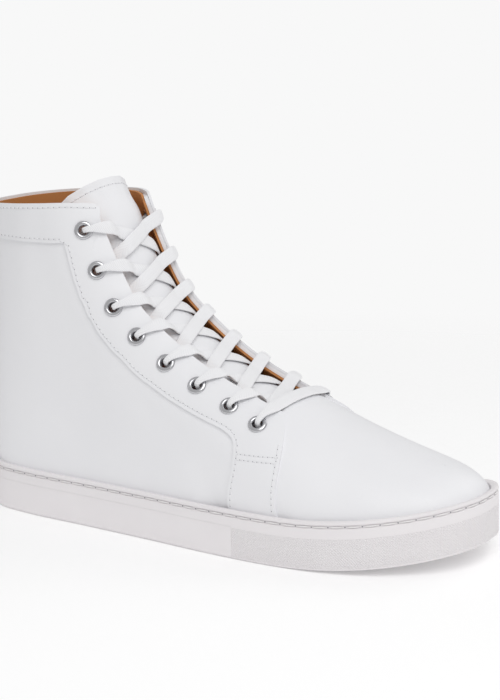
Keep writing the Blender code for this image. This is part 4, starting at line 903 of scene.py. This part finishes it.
EDGES = {}
for sd in (-1, 1):
    q = st_list(sd, QUARTER_FRONT)
    EDGES[sd] = q
S_QUARTER = {sd: float(EDGES[sd][-1, 0]) for sd in (-1, 1)}
S_QTOP = {sd: float(EDGES[sd][0, 0]) for sd in (-1, 1)}


def quarter_top(side, s):
    if s <= S_QTOP[side]:
        return t_at_z(side, s, 153.6)
    return float(np.interp(s, EDGES[side][:, 0], EDGES[side][:, 1]))


for sd, tag in ((-1, "lateral"), (1, "medial")):
    # quarter: heel seam to under the facing
    ss = np.concatenate([np.linspace(0, 40 / ARC, 20)[:-1], np.linspace(40 / ARC, S_QTOP[sd], 16)[:-1],
                         np.linspace(S_QTOP[sd], S_QUARTER[sd], 40)])
    S = np.repeat(ss[:, None], 40, 1)
    T = np.stack([np.linspace(0, quarter_top(sd, s), 40) for s in ss])
    panel("quarter_" + tag, sd, S, T, OUTER, "upper leather")

    # lining: heel seam to the edge of the throat
    ss = np.concatenate([np.linspace(0, 40 / ARC, 20)[:-1], np.linspace(40 / ARC, THROAT_S0, 24)[:-1],
                         np.linspace(THROAT_S0, THROAT_S1, 48)])
    S = np.repeat(ss[:, None], 44, 1)
    tops = [t_at_y(sd, s, half_gap(s) - 0.9) if s >= THROAT_S0 - 1e-9 else 0.994 for s in ss]
    T = np.stack([np.linspace(0, top, 44) for top in tops])
    ob = panel("quarter_lining_" + tag, sd, S, T, LINING, "lining leather")
    cut(ob, hole_cutter(sd, 6.0, -2.0, 2.0, "lining_punch_" + tag))

    # eyelet reinforcement between lining and facing
    ss = np.linspace(S_QTOP[sd] + 1.2 / ARC, BACKING_END / ARC, 40)
    S = np.repeat(ss[:, None], 8, 1)
    T = []
    for s in ss:
        hi = t_at_y(sd, s, half_gap(s) - 0.1) if s >= THROAT_S0 else 0.975
        lo = float(np.interp(s - 0.6 / ARC, EDGES[sd][:, 0], EDGES[sd][:, 1])) + 0.02
        lo += 0.07 * smooth(s * ARC, S_QUARTER[sd] * ARC - 14, S_QUARTER[sd] * ARC - 3)
        T.append(np.linspace(lo, hi, 8))
    ob = panel("eyestay_backing_" + tag, sd, S, np.array(T), (1.2, 3.3), "upper leather")
    cut(ob, hole_cutter(sd, HOLE_D, 0.5, 4.0, "backing_punch_" + tag))

    # facing: collar band, eyelet row and front strip in one panel
    n1, n2, n3, nb = 40, 80, 26, 12
    s_i = find_face(sd, *REAR[0])[0]
    so = np.linspace(0, THROAT_S0, n1)
    si = np.linspace(0, s_i, n1)
    O = [(a, 1.0) for a in so]
    I = [(a, t_at_z(sd, a, BAND_Z)) for a in si]
    O[-1] = (THROAT_S0, t_at_y(sd, THROAT_S0, half_gap(THROAT_S0)))
    ts, te = throat_edge(sd, n2)
    O += list(zip(ts[1:], te[1:]))
    I += [tuple(v) for v in resample(st_list(sd, REAR), n2)[1:]]
    fo = st_list(sd, FRONT_LOW)
    fo = np.concatenate([[[ts[-1], te[-1]]], fo, [[fo[-1, 0], 0.0]]])
    ri = st_list(sd, REAR_LOW)
    ri = np.concatenate([ri, [[ri[-1, 0], 0.0]]])
    mm = np.array([ARC, 60.0])
    O += [tuple(v / mm) for v in resample(fo * mm, n3)[1:]]
    I += [tuple(v / mm) for v in resample(ri * mm, n3)[1:]]
    O, I = np.array(O), np.array(I)
    k = np.linspace(0, 1, nb)[None, :]
    S = I[:, :1] * (1 - k) + O[:, :1] * k
    T = I[:, 1:] * (1 - k) + O[:, 1:] * k
    ob = panel("facing_" + tag, sd, S, np.clip(T, 0, 1), OVER, "upper leather")
    cut(ob, hole_cutter(sd, HOLE_D, 2.6, 7.0, "facing_punch_" + tag))

    # stitch rows: band and rear edge of the facing, top edge, front strip and its two bars
    lower = [(a, t_at_z(sd, a, BAND_Z + 1.9)) for a in np.linspace(12.6 / ARC, s_i, 60)]
    P, N = on_leather(sd, lower, OVER[1])
    rear = shifted(REAR + REAR_LOW[1:], 1.9)
    P2, N2 = on_leather(sd, resample(st_list(sd, rear), 120), OVER[1])
    stitch_row("band_stitches_" + tag, np.r_[P[:-2], P2[1:]], np.r_[N[:-2], N2[1:]])
    top = [(a, t_at_z(sd, a, float(table(3, a)) - 2.3)) for a in np.linspace(0.5 / ARC, 121 / ARC, 90)]
    stitch_row("top_stitches_" + tag, *on_leather(sd, top, OVER[1]))
    front = st_list(sd, shifted(FRONT_LOW, -1.9))
    stitch_row("front_stitches_" + tag, *on_leather(sd, resample(front[1:], 60), OVER[1]))
    for k, z in enumerate((51.8, 49.2)):
        bar = [find_face(sd, x, z) for x in np.linspace(183.6, 205.6, 12)]
        stitch_row("bar_stitches_%s_%d" % (tag, k + 1), *on_leather(sd, bar, OVER[1]), 2.6, 2.0, 0.28)

# ---------------------------------------------------------------- vamp and its lining
def dome(name, lay, kind, start, m_t, rows, t_step=None):
    """Sheet over the foot from a rear edge start(side, t) to the toe, both sides in one."""
    half = np.linspace(0, 1, m_t)
    pts = {}
    for off in lay:
        lat, med = [], []
        for i in range(rows):
            k = i / (rows - 1)
            row_l = np.array([start(-1, t) * (1 - k) + k for t in half])
            row_m = np.array([start(1, t) * (1 - k) + k for t in half])
            lat.append(surf(-1, row_l, half, off))
            med.append(surf(1, row_m, half, off))
        lat, med = np.array(lat), np.array(med)
        ridge = (lat[:, -1:] + med[:, -1:]) / 2
        grid = np.concatenate([lat[:, :-1], ridge, med[:, -2::-1]], axis=1)
        # last row: both sides are one line
        w = grid.shape[1]
        last = grid[-1].copy()
        for j in range(w):
            grid[-1, j] = (last[j] + last[w - 1 - j]) / 2
        pts[off] = grid
    w = 2 * m_t - 1
    idx = np.arange(rows * w).reshape(rows, w)
    for j in range(m_t, w):
        idx[-1, j] = idx[-1, w - 1 - j]
    inner, outer = pts[lay[0]].reshape(-1, 3), pts[lay[1]].reshape(-1, 3)
    used = np.unique(idx)
    remap = {int(v): i for i, v in enumerate(used)}
    idx = np.vectorize(lambda v: remap[int(v)])(idx)
    return thick(name, inner[used], outer[used], idx, kind)


def vamp_rear(side, t):
    # wing under the front strip, then across the foot just in front of the last eyelets
    low = S_QUARTER[side] * ARC + 1.2
    return (low + (BACKING_END + 1.2 - low) * min(1.0, max(0.0, (t - 0.37) / 0.08))) / ARC


dome("vamp", OUTER, "upper leather", vamp_rear, 40, 52)
dome("vamp_lining", LINING, "lining leather", lambda side, t: (THROAT_S1 * ARC + 0.8) / ARC, 30, 36)

# ---------------------------------------------------------------- heel
def around_heel(name, arc_end, t_low, t_high, lay, kind, ns, nt):
    """Sheet that wraps the heel from one side to the other."""
    half = np.linspace(0, arc_end / ARC, ns)
    pts = {}
    for off in lay:
        lat = np.array([surf(-1, np.full(nt, s), np.linspace(t_low(-1, s), t_high(-1, s), nt), off) for s in half])
        med = np.array([surf(1, np.full(nt, s), np.linspace(t_low(1, s), t_high(1, s), nt), off) for s in half])
        mid = (lat[:1] + med[:1]) / 2
        pts[off] = np.concatenate([lat[:0:-1], mid, med[1:]])
    g = pts[lay[0]]
    idx = np.arange(g.shape[0] * g.shape[1]).reshape(g.shape[0], g.shape[1])
    return thick(name, pts[lay[0]], pts[lay[1]], idx, kind)


around_heel("heel_backstay", 12, lambda a, s: 0.0, lambda a, s: t_at_z(a, s, BAND_Z + 0.2), OVER,
            "upper leather", 9, 60)
for sd, tag in ((-1, "lateral"), (1, "medial")):
    line = [(10.2 / ARC, t) for t in np.linspace(0.09, t_at_z(sd, 10.2 / ARC, BAND_Z - 2.0), 60)]
    stitch_row("heel_stitches_" + tag, *on_leather(sd, line, OVER[1]))

# ---------------------------------------------------------------- throat coordinates
RIDGE_LEN = np.concatenate([[0], np.cumsum(np.linalg.norm(np.diff(RIDGE, axis=0), axis=1))])


def ridge_at(r):
    """Ridge point and its outward side-view normal, r in mm down from the collar."""
    e = 1.5
    def pt(q):
        p = np.array([np.interp(q, RIDGE_LEN, RIDGE[:, 0]), np.interp(q, RIDGE_LEN, RIDGE[:, 1])])
        if q < 0:
            p = RIDGE[0] + (RIDGE[0] - RIDGE[1]) / np.linalg.norm(RIDGE[0] - RIDGE[1]) * -q
        return p
    p = pt(r)
    t = pt(r + e) - pt(r - e)
    t /= np.linalg.norm(t)
    return p, np.array([-t[1], t[0]])


def fan_point(r, y):
    """Inside-face point at ridge distance r and sideways distance y."""
    side = -1 if y < 0 else 1
    base, n = ridge_at(r)
    d = 0.0
    for _ in range(5):
        x, z = base - n * d
        foot = abs(float(np.interp(x, HALF[side][:, 0], HALF[side][:, 1]))) - INSET
        w = SHAFT_HALF + 1.0 + (foot - SHAFT_HALF - 1.0) * (1 - float(smooth(z, 11, 112)))
        rr = ROUND_TOP + (ROUND_LOW - ROUND_TOP) * float(smooth(x, 95, 190))
        q = min(abs(y) / w, 0.985)
        d = rr * (1 - (1 - q ** ROUND_POWER) ** (1 / ROUND_POWER))
    x, z = base - n * d
    return np.array([x, y, z])


def fan(r, y, off=0.0):
    p = fan_point(r, y)
    a = fan_point(r + 1.0, y) - fan_point(r - 1.0, y)
    b = fan_point(r, y + 0.6) - fan_point(r, y - 0.6)
    n = np.cross(a, b)
    n /= np.linalg.norm(n)
    if n @ np.array([0.5, 0.2 * np.sign(y), 0.8]) < 0:
        n = -n
    return p + n * off, n


def fan_coords(p):
    """Ridge distance of a point seen from the side."""
    rs = np.linspace(-5, RIDGE_LEN[-1], 600)
    pts = np.array([ridge_at(r)[0] for r in rs])
    return float(rs[int(np.argmin(((pts - [p[0], p[2]]) ** 2).sum(1)))])


EYELET_FAN = {sd: [(fan_coords(rib(sd, np.array(s), np.array(t))), float(rib(sd, np.array(s), np.array(t))[1]))
                   for s, t in EYELET_ST[sd]] for sd in (-1, 1)}

# ---------------------------------------------------------------- tongue
TONGUE_TOP = [(81.0, 0.0, 179.0), (79.8, 9.5, 178.2), (76.3, 18.0, 175.4), (71.0, 24.5, 171.0), (66.5, 28.0, 165.5)]
TONGUE_BASE = float(np.interp(216.0, RIDGE[:, 0], RIDGE_LEN))     # where it is sewn under the vamp
TONGUE_FREE = float(np.interp(203.0, RIDGE[:, 0], RIDGE_LEN))


def tongue_half_width(r):
    return float(np.interp(r, [0, 40, TONGUE_FREE, TONGUE_BASE], [28.5, 29.5, 27.5, 20.0]))


def tongue_off(r):
    return -1.0 - (TONGUE_DROP - 1.0) * float(1 - smooth(r, TONGUE_FREE - 3, TONGUE_BASE - 2))


def tongue_grid():
    cols = np.linspace(-1, 1, 33)
    rows = []
    for r in np.linspace(TONGUE_BASE, 4.0, 90):
        w = tongue_half_width(r)
        rows.append(np.array([fan(r, c * w + 1e-4, tongue_off(r))[0] for c in cols]))
    last, prev = rows[-1], rows[-2]
    top = np.array(TONGUE_TOP)
    ty = np.interp(abs(cols), np.linspace(0, 1, 5), top[:, 1]) * np.sign(cols)
    tx = np.interp(abs(cols), np.linspace(0, 1, 5), top[:, 0]) * LENGTH_SCALE
    tz = FEATHER_HEIGHT + (np.interp(abs(cols), np.linspace(0, 1, 5), top[:, 2]) - FEATHER_HEIGHT) * HEIGHT_SCALE
    end = np.stack([tx, ty, tz], 1)
    d0 = (last - prev)
    d0 = d0 / np.linalg.norm(d0, axis=1, keepdims=True)
    ln = np.linalg.norm(end - last, axis=1, keepdims=True)
    up = np.tile(np.array([[-0.30, 0, 0.95]]), (len(cols), 1))
    for k in np.linspace(0.1, 1.0, 10):
        h = [(1 + 2 * k) * (1 - k) ** 2, k * (1 - k) ** 2, k * k * (3 - 2 * k), k * k * (k - 1)]
        rows.append(h[0] * last + h[1] * d0 * ln + h[2] * end + h[3] * up * ln)
    return np.array(rows)


def grid_normals(g):
    a = np.gradient(g, axis=0)
    b = np.gradient(g, axis=1)
    n = np.cross(b, a)
    n /= np.linalg.norm(n, axis=-1, keepdims=True)
    if n[len(n) // 2, g.shape[1] // 2, 2] < 0:
        n = -n
    return n


TG = tongue_grid()
TN = grid_normals(TG)
TIDX = np.arange(TG.shape[0] * TG.shape[1]).reshape(TG.shape[:2])


def pad(name, g, n, deep, kind, index):
    """Soft sheet that thins towards its edges."""
    m, w = g.shape[:2]
    across = 1 - abs(np.linspace(-1, 1, w)) ** 6 * 0.55
    up = np.minimum(1.0, (m - 1 - np.arange(m)) / 5.0) * 0.55 + 0.45
    d = deep * up[:, None] * across[None, :]
    return thick(name, g - n * d[..., None], g, index, kind, 0.5)


face = pad("tongue", TG, TN, 3.1, "upper leather", TIDX)
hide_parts("tongue_foam")
def inset_sheet(g, n, d_edge):
    """The same sheet a little narrower, its points still on the sheet."""
    m, w = g.shape[:2]
    out, nrm = np.empty_like(g), np.empty_like(n)
    for i in range(m):
        half = np.linalg.norm(np.diff(g[i], axis=0), axis=1).sum() / 2
        at = (w - 1) / 2 * (1 + np.linspace(-1, 1, w) * (1 - d_edge / half))
        for c in range(3):
            out[i, :, c] = np.interp(at, np.arange(w), g[i, :, c])
            nrm[i, :, c] = np.interp(at, np.arange(w), n[i, :, c])
    step = np.linalg.norm(out[-1] - out[-2], axis=1, keepdims=True)
    out[-1] += (out[-2] - out[-1]) * np.minimum(1.0, d_edge / step)
    return out, nrm / np.linalg.norm(nrm, axis=-1, keepdims=True)


LG, LN = inset_sheet(TG, TN, 0.8)
m_, w_ = TIDX.shape
depth = 3.05 * (np.minimum(1.0, (m_ - 1 - np.arange(m_)) / 5.0) * 0.55 + 0.45)[:, None]
depth = depth * (1 - abs(np.linspace(-1, 1, w_)) ** 6 * 0.55)[None, :]
thick("tongue_lining", (LG - LN * (depth + 0.8)[..., None])[1:], (LG - LN * depth[..., None])[1:],
      TIDX[1:] - TIDX[1, 0], "lining leather")
rim = []
for j in range(2, w_ - 2):
    rim.append(TG[m_ - 3, j])
rn = [TN[m_ - 3, j] for j in range(2, w_ - 2)]
left = [TG[i, 2] for i in range(30, m_ - 3)]
right = [TG[i, w_ - 3] for i in range(m_ - 4, 30, -1)]
ln = [TN[i, 2] for i in range(30, m_ - 3)]
rn2 = [TN[i, w_ - 3] for i in range(m_ - 4, 30, -1)]
stitch_row("tongue_stitches", np.array(left + rim + right), np.array(ln + rn + rn2), body="tongue_flap")

# ---------------------------------------------------------------- eyelets
def revolve(name, origin, a, b, n, profile, seg, kind):
    verts, faces = [], []
    for i in range(seg):
        th = 2 * math.pi * i / seg
        d = a * math.cos(th) + b * math.sin(th)
        for r, z in profile:
            verts.append(origin + d * r + n * z)
    m = len(profile)
    for i in range(seg):
        j = (i + 1) % seg
        for k in range(m):
            q = (k + 1) % m
            faces.append((i * m + k, j * m + k, j * m + q, i * m + q))
    return add(name, verts, faces, kind)


RB = EYELET_BORE / 2
RF = EYELET_OD / 2
EYELET_PROFILE = [(RB, 0.2), (RB + 1.2, -0.3), (RB + 1.9, 0.1), (RB + 0.5, 0.6), (RB + 0.45, 4.6),
                  (RF - 0.3, 4.72), (RF, 4.9),
                  (RF - 0.1, 5.2), (RF - 0.55, 5.55), (RF - 1.1, 5.75), (RF - 1.7, 5.68), (RB + 0.15, 5.3), (RB, 4.8)]
for sd, tag in ((-1, "lateral"), (1, "medial")):
    for i, (s, t) in enumerate(EYELET_ST[sd]):
        p, a, b, n = frame_at(sd, s, t)
        revolve("eyelet_%s_%d" % (tag, i + 1), p, a, b, n, EYELET_PROFILE, 40, "eyelet metal")


# ---------------------------------------------------------------- lace
LIFT = OVER[1] + 0.45 + LACE_T / 2              # lace centre lying on the facing
LIE = -TONGUE_DROP + 0.65 + LACE_T / 2          # lace centre lying on the tongue
CROSS = LACE_T + 0.4                            # upper strand over the lower one
UNDER = -1.55                                   # lace centre under the lining
HOLE_W, HOLE_T = 2.8, 1.6


def keyed(x, keys):
    return float(np.interp(x, [k for k, _ in keys], [v for _, v in keys]))


def along(r):
    """Side-view direction of the ridge, upwards."""
    a, b = ridge_at(r + 1.0)[0], ridge_at(r - 1.0)[0]
    v = np.array([b[0] - a[0], 0.0, b[1] - a[1]])
    return v / np.linalg.norm(v)


def tongue_rise(r):
    """How much higher than the tongue's free part it lies near its sewn end."""
    return tongue_off(r) + TONGUE_DROP


def through(side, i):
    """Points of the lace passing outwards through an eyelet."""
    s, t = EYELET_ST[side][i - 1]
    p, a, b, n = frame_at(side, s, t)
    w = along(EYELET_FAN[side][i - 1][0])
    return [(p + n * o, w, HOLE_W, HOLE_T) for o in (-1.0, 0.8, 3.0, 5.2, 6.7)]


def run(sa, ia, sb, ib, keys, qs, shape):
    """Surface points between two eyelets; q is the sideways distance from the middle, a side negative."""
    (ra, ya), (rb, yb) = EYELET_FAN[sa][ia - 1], EYELET_FAN[sb][ib - 1]
    out = []
    for q in qs:
        r = ra + (rb - ra) * (q + abs(ya)) / (abs(ya) + abs(yb))
        y = q if sa < 0 else -q
        y = y if abs(y) > 1e-3 else 1e-3
        off = keyed(q, keys)
        p, n = fan(r, y, max(off, tongue_rise(r) - TONGUE_DROP + 0.35 + LACE_T / 2) if abs(q) < 14 else off)
        wide, deep = shape(q)
        out.append((p, along(r), wide, deep))
    return out


def strand(sa, ia, sb, ib, upper):
    """One strand: out of eyelet a, over the edge, across, under the far edge to eyelet b."""
    ya, yb = abs(EYELET_FAN[sa][ia - 1][1]), abs(EYELET_FAN[sb][ib - 1][1])
    gap = half_gap(EYELET_ST[sa][ia - 1][0])
    mid = LIE + (CROSS if upper else 0.0)
    keys = [(-ya + 2.2, LIFT + 1.75), (-ya + 5.6, LIFT + 0.95), (-gap, LIFT), (-gap + 2.4, LIFT - 0.3),
            (-gap + 9.0, mid), (11.6, mid), (gap - 4.6, UNDER - 0.2), (yb - 2.5, UNDER)]

    def shape(q):
        d = min(q + ya, yb - q)
        wide = float(np.interp(d, [0, 2.2, 7.0], [HOLE_W, 3.6, LACE_W]))
        return wide, float(np.interp(d, [0, 5], [1.5, LACE_T]))

    qs = [-ya + 2.2, -ya + 5.6, -gap - 0.2, -gap + 2.4, -gap + 5.7, -gap + 9.2, -5.5, 0.0, 5.5, 11.4, gap - 4.6, gap + 0.8,
          yb - 2.6]
    return run(sa, ia, sb, ib, keys, qs, shape)


def bottom_bar():
    ya = abs(EYELET_FAN[1][7][1])
    gap = half_gap(EYELET_ST[1][7][0])
    top = 4.9
    keys = [(-ya + 2.2, LIFT + 1.75), (-ya + 5.6, LIFT + 0.95), (-gap, LIFT), (-gap + 5, top), (gap - 5, top),
            (gap, LIFT), (ya - 5.6, LIFT + 0.95), (ya - 2.2, LIFT + 1.75)]

    def shape(q):
        d = ya - abs(q)
        wide = float(np.interp(d, [0, 2.2, 7.0], [HOLE_W, 3.6, LACE_W]))
        return wide, float(np.interp(d, [0, 5], [1.5, LACE_T]))

    qs = [-ya + 2.2, -ya + 5.6, -gap - 0.2, -gap + 4, -9.0, 0.0, 9.0, gap - 4, gap + 0.2, ya - 5.6, ya - 2.2]
    return run(1, 8, -1, 8, keys, qs, shape)


TAIL = [(80.6, 152.2), (76.9, 146.5), (76.6, 137.5), (79.0, 128.0)]
TIP_END = (84.6, 111.5)


def tail_points(side):
    """Loose end from the top eyelet, hanging inside the ankle wall."""
    out = []
    pts = []
    for x, z in TAIL + [TIP_END]:
        s, t = find(side, *world(x, z))
        n = normal(side, np.array(s), np.array(t))
        pts.append((rib(side, np.array(s), np.array(t)) - n * 1.9, n))
    for k in range(len(TAIL)):
        d = pts[k + 1][0] - (pts[k - 1][0] if k else pts[0][0] - (pts[1][0] - pts[0][0]))
        w = np.cross(pts[k][1], d)
        w /= np.linalg.norm(w)
        if w @ np.array([1.0, 0, 0.6]) < 0:
            w = -w
        out.append((pts[k][0], w, (2.8, 3.2, 3.6, 3.6)[k], 1.3))
    return out, pts[-1][0]


def lace_route():
    left, right = -1, 1
    route = tail_points(left)[0][::-1] + through(left, 1)
    side = left
    for i in range(1, 8):
        route += strand(side, i, -side, i + 1, upper=(side == right)) + through(-side, i + 1)
        side = -side
    route += bottom_bar() + through(left, 8)[::-1]
    side = left
    for i in range(7, 0, -1):
        route += strand(-side, i, side, i + 1, upper=(-side == right))[::-1] + through(-side, i)[::-1]
        side = -side
    route += tail_points(side)[0]
    return route, side


def smooth_path(pts, step):
    """Samples along a smooth curve through the points, with width direction and section size."""
    P = np.array([p[0] for p in pts])
    Q = np.array([np.r_[p[1], p[2], p[3]] for p in pts])
    for k in range(1, len(Q)):
        if Q[k, :3] @ Q[k - 1, :3] < 0:
            Q[k, :3] *= -1
    out_p, out_q = [], []
    for i in range(len(P) - 1):
        p0, p1, p2, p3 = P[max(i - 1, 0)], P[i], P[i + 1], P[min(i + 2, len(P) - 1)]
        d = np.linalg.norm(p2 - p1)
        n = max(1, int(round(d / step)))
        m1 = (p2 - p0) / max(np.linalg.norm(p2 - p0), 1e-6) * d * 0.8
        m2 = (p3 - p1) / max(np.linalg.norm(p3 - p1), 1e-6) * d * 0.8
        for k in np.arange(n) / n:
            h = [(1 + 2 * k) * (1 - k) ** 2, k * (1 - k) ** 2, k * k * (3 - 2 * k), k * k * (k - 1)]
            out_p.append(h[0] * p1 + h[1] * m1 + h[2] * p2 + h[3] * m2)
            out_q.append(Q[i] * (1 - k) + Q[i + 1] * k)
    out_p.append(P[-1])
    out_q.append(Q[-1])
    return np.array(out_p), np.array(out_q)


def band(name, P, W, wide, deep, kind):
    """Woven band along P with rounded edges, UVs in millimetres along and across."""
    T = np.gradient(P, axis=0)
    T /= np.linalg.norm(T, axis=1, keepdims=True)
    W = W - T * (W * T).sum(1, keepdims=True)
    W /= np.linalg.norm(W, axis=1, keepdims=True)
    N = np.cross(T, W)
    run_mm = np.concatenate([[0], np.cumsum(np.linalg.norm(np.diff(P, axis=0), axis=1))])
    ring = 14
    shape = []
    for i in range(ring):
        a = 2 * math.pi * i / ring
        c, d = math.cos(a), math.sin(a)
        shape.append((math.copysign(abs(c) ** 0.55, c), math.copysign(abs(d) ** 0.75, d)))
    verts, faces, uvs = [], [], []
    for p, w, n, a, b in zip(P, W, N, wide, deep):
        for u, v in shape:
            verts.append(p + w * u * a / 2 + n * v * b / 2)
    m = len(P)
    for i in range(m - 1):
        for k in range(ring):
            j = (k + 1) % ring
            faces.append((i * ring + k, i * ring + j, (i + 1) * ring + j, (i + 1) * ring + k))
            uk, uj = shape[k][0] * wide[i] / 2, shape[j][0] * wide[i] / 2
            uvs.append([(run_mm[i], uk), (run_mm[i], uj), (run_mm[i + 1], uj), (run_mm[i + 1], uk)])
    faces.append(tuple(reversed(range(ring))))
    faces.append(tuple((m - 1) * ring + k for k in range(ring)))
    uvs += [[(0.0, 0.0)] * ring] * 2
    return add_mapped(name, verts, faces, uvs, kind, "band")


ROUTE = lace_route()[0]
LP, LQ = smooth_path(ROUTE, 1.1)
for _ in range(3):
    LP[1:-1] = LP[1:-1] * 0.5 + (LP[:-2] + LP[2:]) * 0.25
band("lace", LP, LQ[:, :3], LQ[:, 3], LQ[:, 4], "lace cotton")
for tag in ("lateral", "medial"):
    frame["nodes"]["aglet_" + tag].data.materials.clear()
    frame["nodes"]["aglet_" + tag].data.materials.append(LOOKS["tip plastic"])

# ---------------------------------------------------------------- frame nodes that stay, with their finish
for name, kind in (("footbed", "footbed"), ("insole_board", "board"), ("midsole_filler", "foam"),
                   ("collar_foam", "foam"),
                   ("heel_counter", "stiffener"), ("toe_puff", "stiffener")):
    node = frame["nodes"][name]
    node.data.materials.clear()
    node.data.materials.append(LOOKS[kind])

# ---------------------------------------------------------------- floor, lights, camera
floor = bpy.data.meshes.new("floor")
floor.from_pydata([(-6, -6, -0.0002), (6, -6, -0.0002), (6, 6, -0.0002), (-6, 6, -0.0002)], [], [(0, 1, 2, 3)])
floor_ob = bpy.data.objects.new("floor", floor)
bpy.context.collection.objects.link(floor_ob)
pale = Finish("pale floor", "#FAFAFA", 0.9, Specular_IOR_Level=0.1)
pale.shader.inputs["Emission Color"].default_value = (1, 1, 1, 1)
pale.shader.inputs["Emission Strength"].default_value = 0.12
reach = pale.node("ShaderNodeVectorMath", {0: pale.place()}, operation="LENGTH")
far = pale.node("ShaderNodeMapRange", {"Value": reach.outputs["Value"], "From Min": 0.26, "From Max": 0.6})
clear = pale.node("ShaderNodeBsdfTransparent")
fade = pale.node("ShaderNodeMixShader")
pale.tree.links.new(far.outputs[0], fade.inputs[0])
pale.tree.links.new(pale.shader.outputs[0], fade.inputs[1])
pale.tree.links.new(clear.outputs[0], fade.inputs[2])
pale.tree.links.new(fade.outputs[0], pale.tree.nodes["Material Output"].inputs["Surface"])
floor.materials.append(pale.mat)

world = bpy.context.scene.world or bpy.data.worlds.new("studio")
bpy.context.scene.world = world
world.use_nodes = True
sky = world.node_tree
glow = sky.nodes["Background"]
glow.inputs["Color"].default_value = (1, 1, 1, 1)
glow.inputs["Strength"].default_value = 0.56
seen = sky.nodes.new("ShaderNodeBackground")
seen.inputs["Color"].default_value = linear("#F8F8F8")
ray = sky.nodes.new("ShaderNodeLightPath")
pick = sky.nodes.new("ShaderNodeMixShader")
sky.links.new(ray.outputs["Is Camera Ray"], pick.inputs[0])
sky.links.new(glow.outputs[0], pick.inputs[1])
sky.links.new(seen.outputs[0], pick.inputs[2])
sky.links.new(pick.outputs[0], sky.nodes["World Output"].inputs["Surface"])


def softbox(name, place, aim, size, power):
    light = bpy.data.lights.new(name, "AREA")
    light.size = size
    light.energy = power
    ob = bpy.data.objects.new(name, light)
    bpy.context.collection.objects.link(ob)
    ob.location = place
    ob.rotation_euler = (Vector(aim) - Vector(place)).to_track_quat("-Z", "Y").to_euler()
    return ob


softbox("key", (1.0, -0.8, 1.5), (0.0, 0.0, 0.05), 1.2, 13.5)
softbox("fill", (-1.4, -0.8, 0.9), (0.0, 0.0, 0.08), 1.4, 0.8)
softbox("back", (0.6, 1.3, 1.2), (0.0, 0.0, 0.08), 1.2, 4.0)

VIEW_TURN, VIEW_RISE, VIEW_ROLL = math.radians(33.74), math.radians(12.92), math.radians(-1.5)
VIEW_DISTANCE = 1.0185
target = Vector(((150.0 - CENTRE[0]) * MM, -CENTRE[1] * MM, 0.070))
level = math.cos(VIEW_RISE)
away = Vector((math.sin(VIEW_TURN) * level, -math.cos(VIEW_TURN) * level, math.sin(VIEW_RISE)))
side_dir = Vector((math.cos(VIEW_TURN), math.sin(VIEW_TURN), 0))
up_dir = away.cross(side_dir)
right = side_dir * math.cos(VIEW_ROLL) + up_dir * math.sin(VIEW_ROLL)
upward = up_dir * math.cos(VIEW_ROLL) - side_dir * math.sin(VIEW_ROLL)
lens = bpy.data.cameras.new("camera")
lens.sensor_fit = "HORIZONTAL"
lens.sensor_width = 36.0
lens.lens = 142.2
lens.shift_x, lens.shift_y = 0.0464, 0.0859
lens.clip_start, lens.clip_end = 0.05, 50.0
camera = bpy.data.objects.new("camera", lens)
bpy.context.collection.objects.link(camera)
place = target + away * VIEW_DISTANCE
camera.matrix_world = Matrix(((right.x, upward.x, away.x, place.x), (right.y, upward.y, away.y, place.y),
                              (right.z, upward.z, away.z, place.z), (0, 0, 0, 1)))
bpy.context.scene.camera = camera
bpy.context.scene.view_settings.view_transform = "Standard"
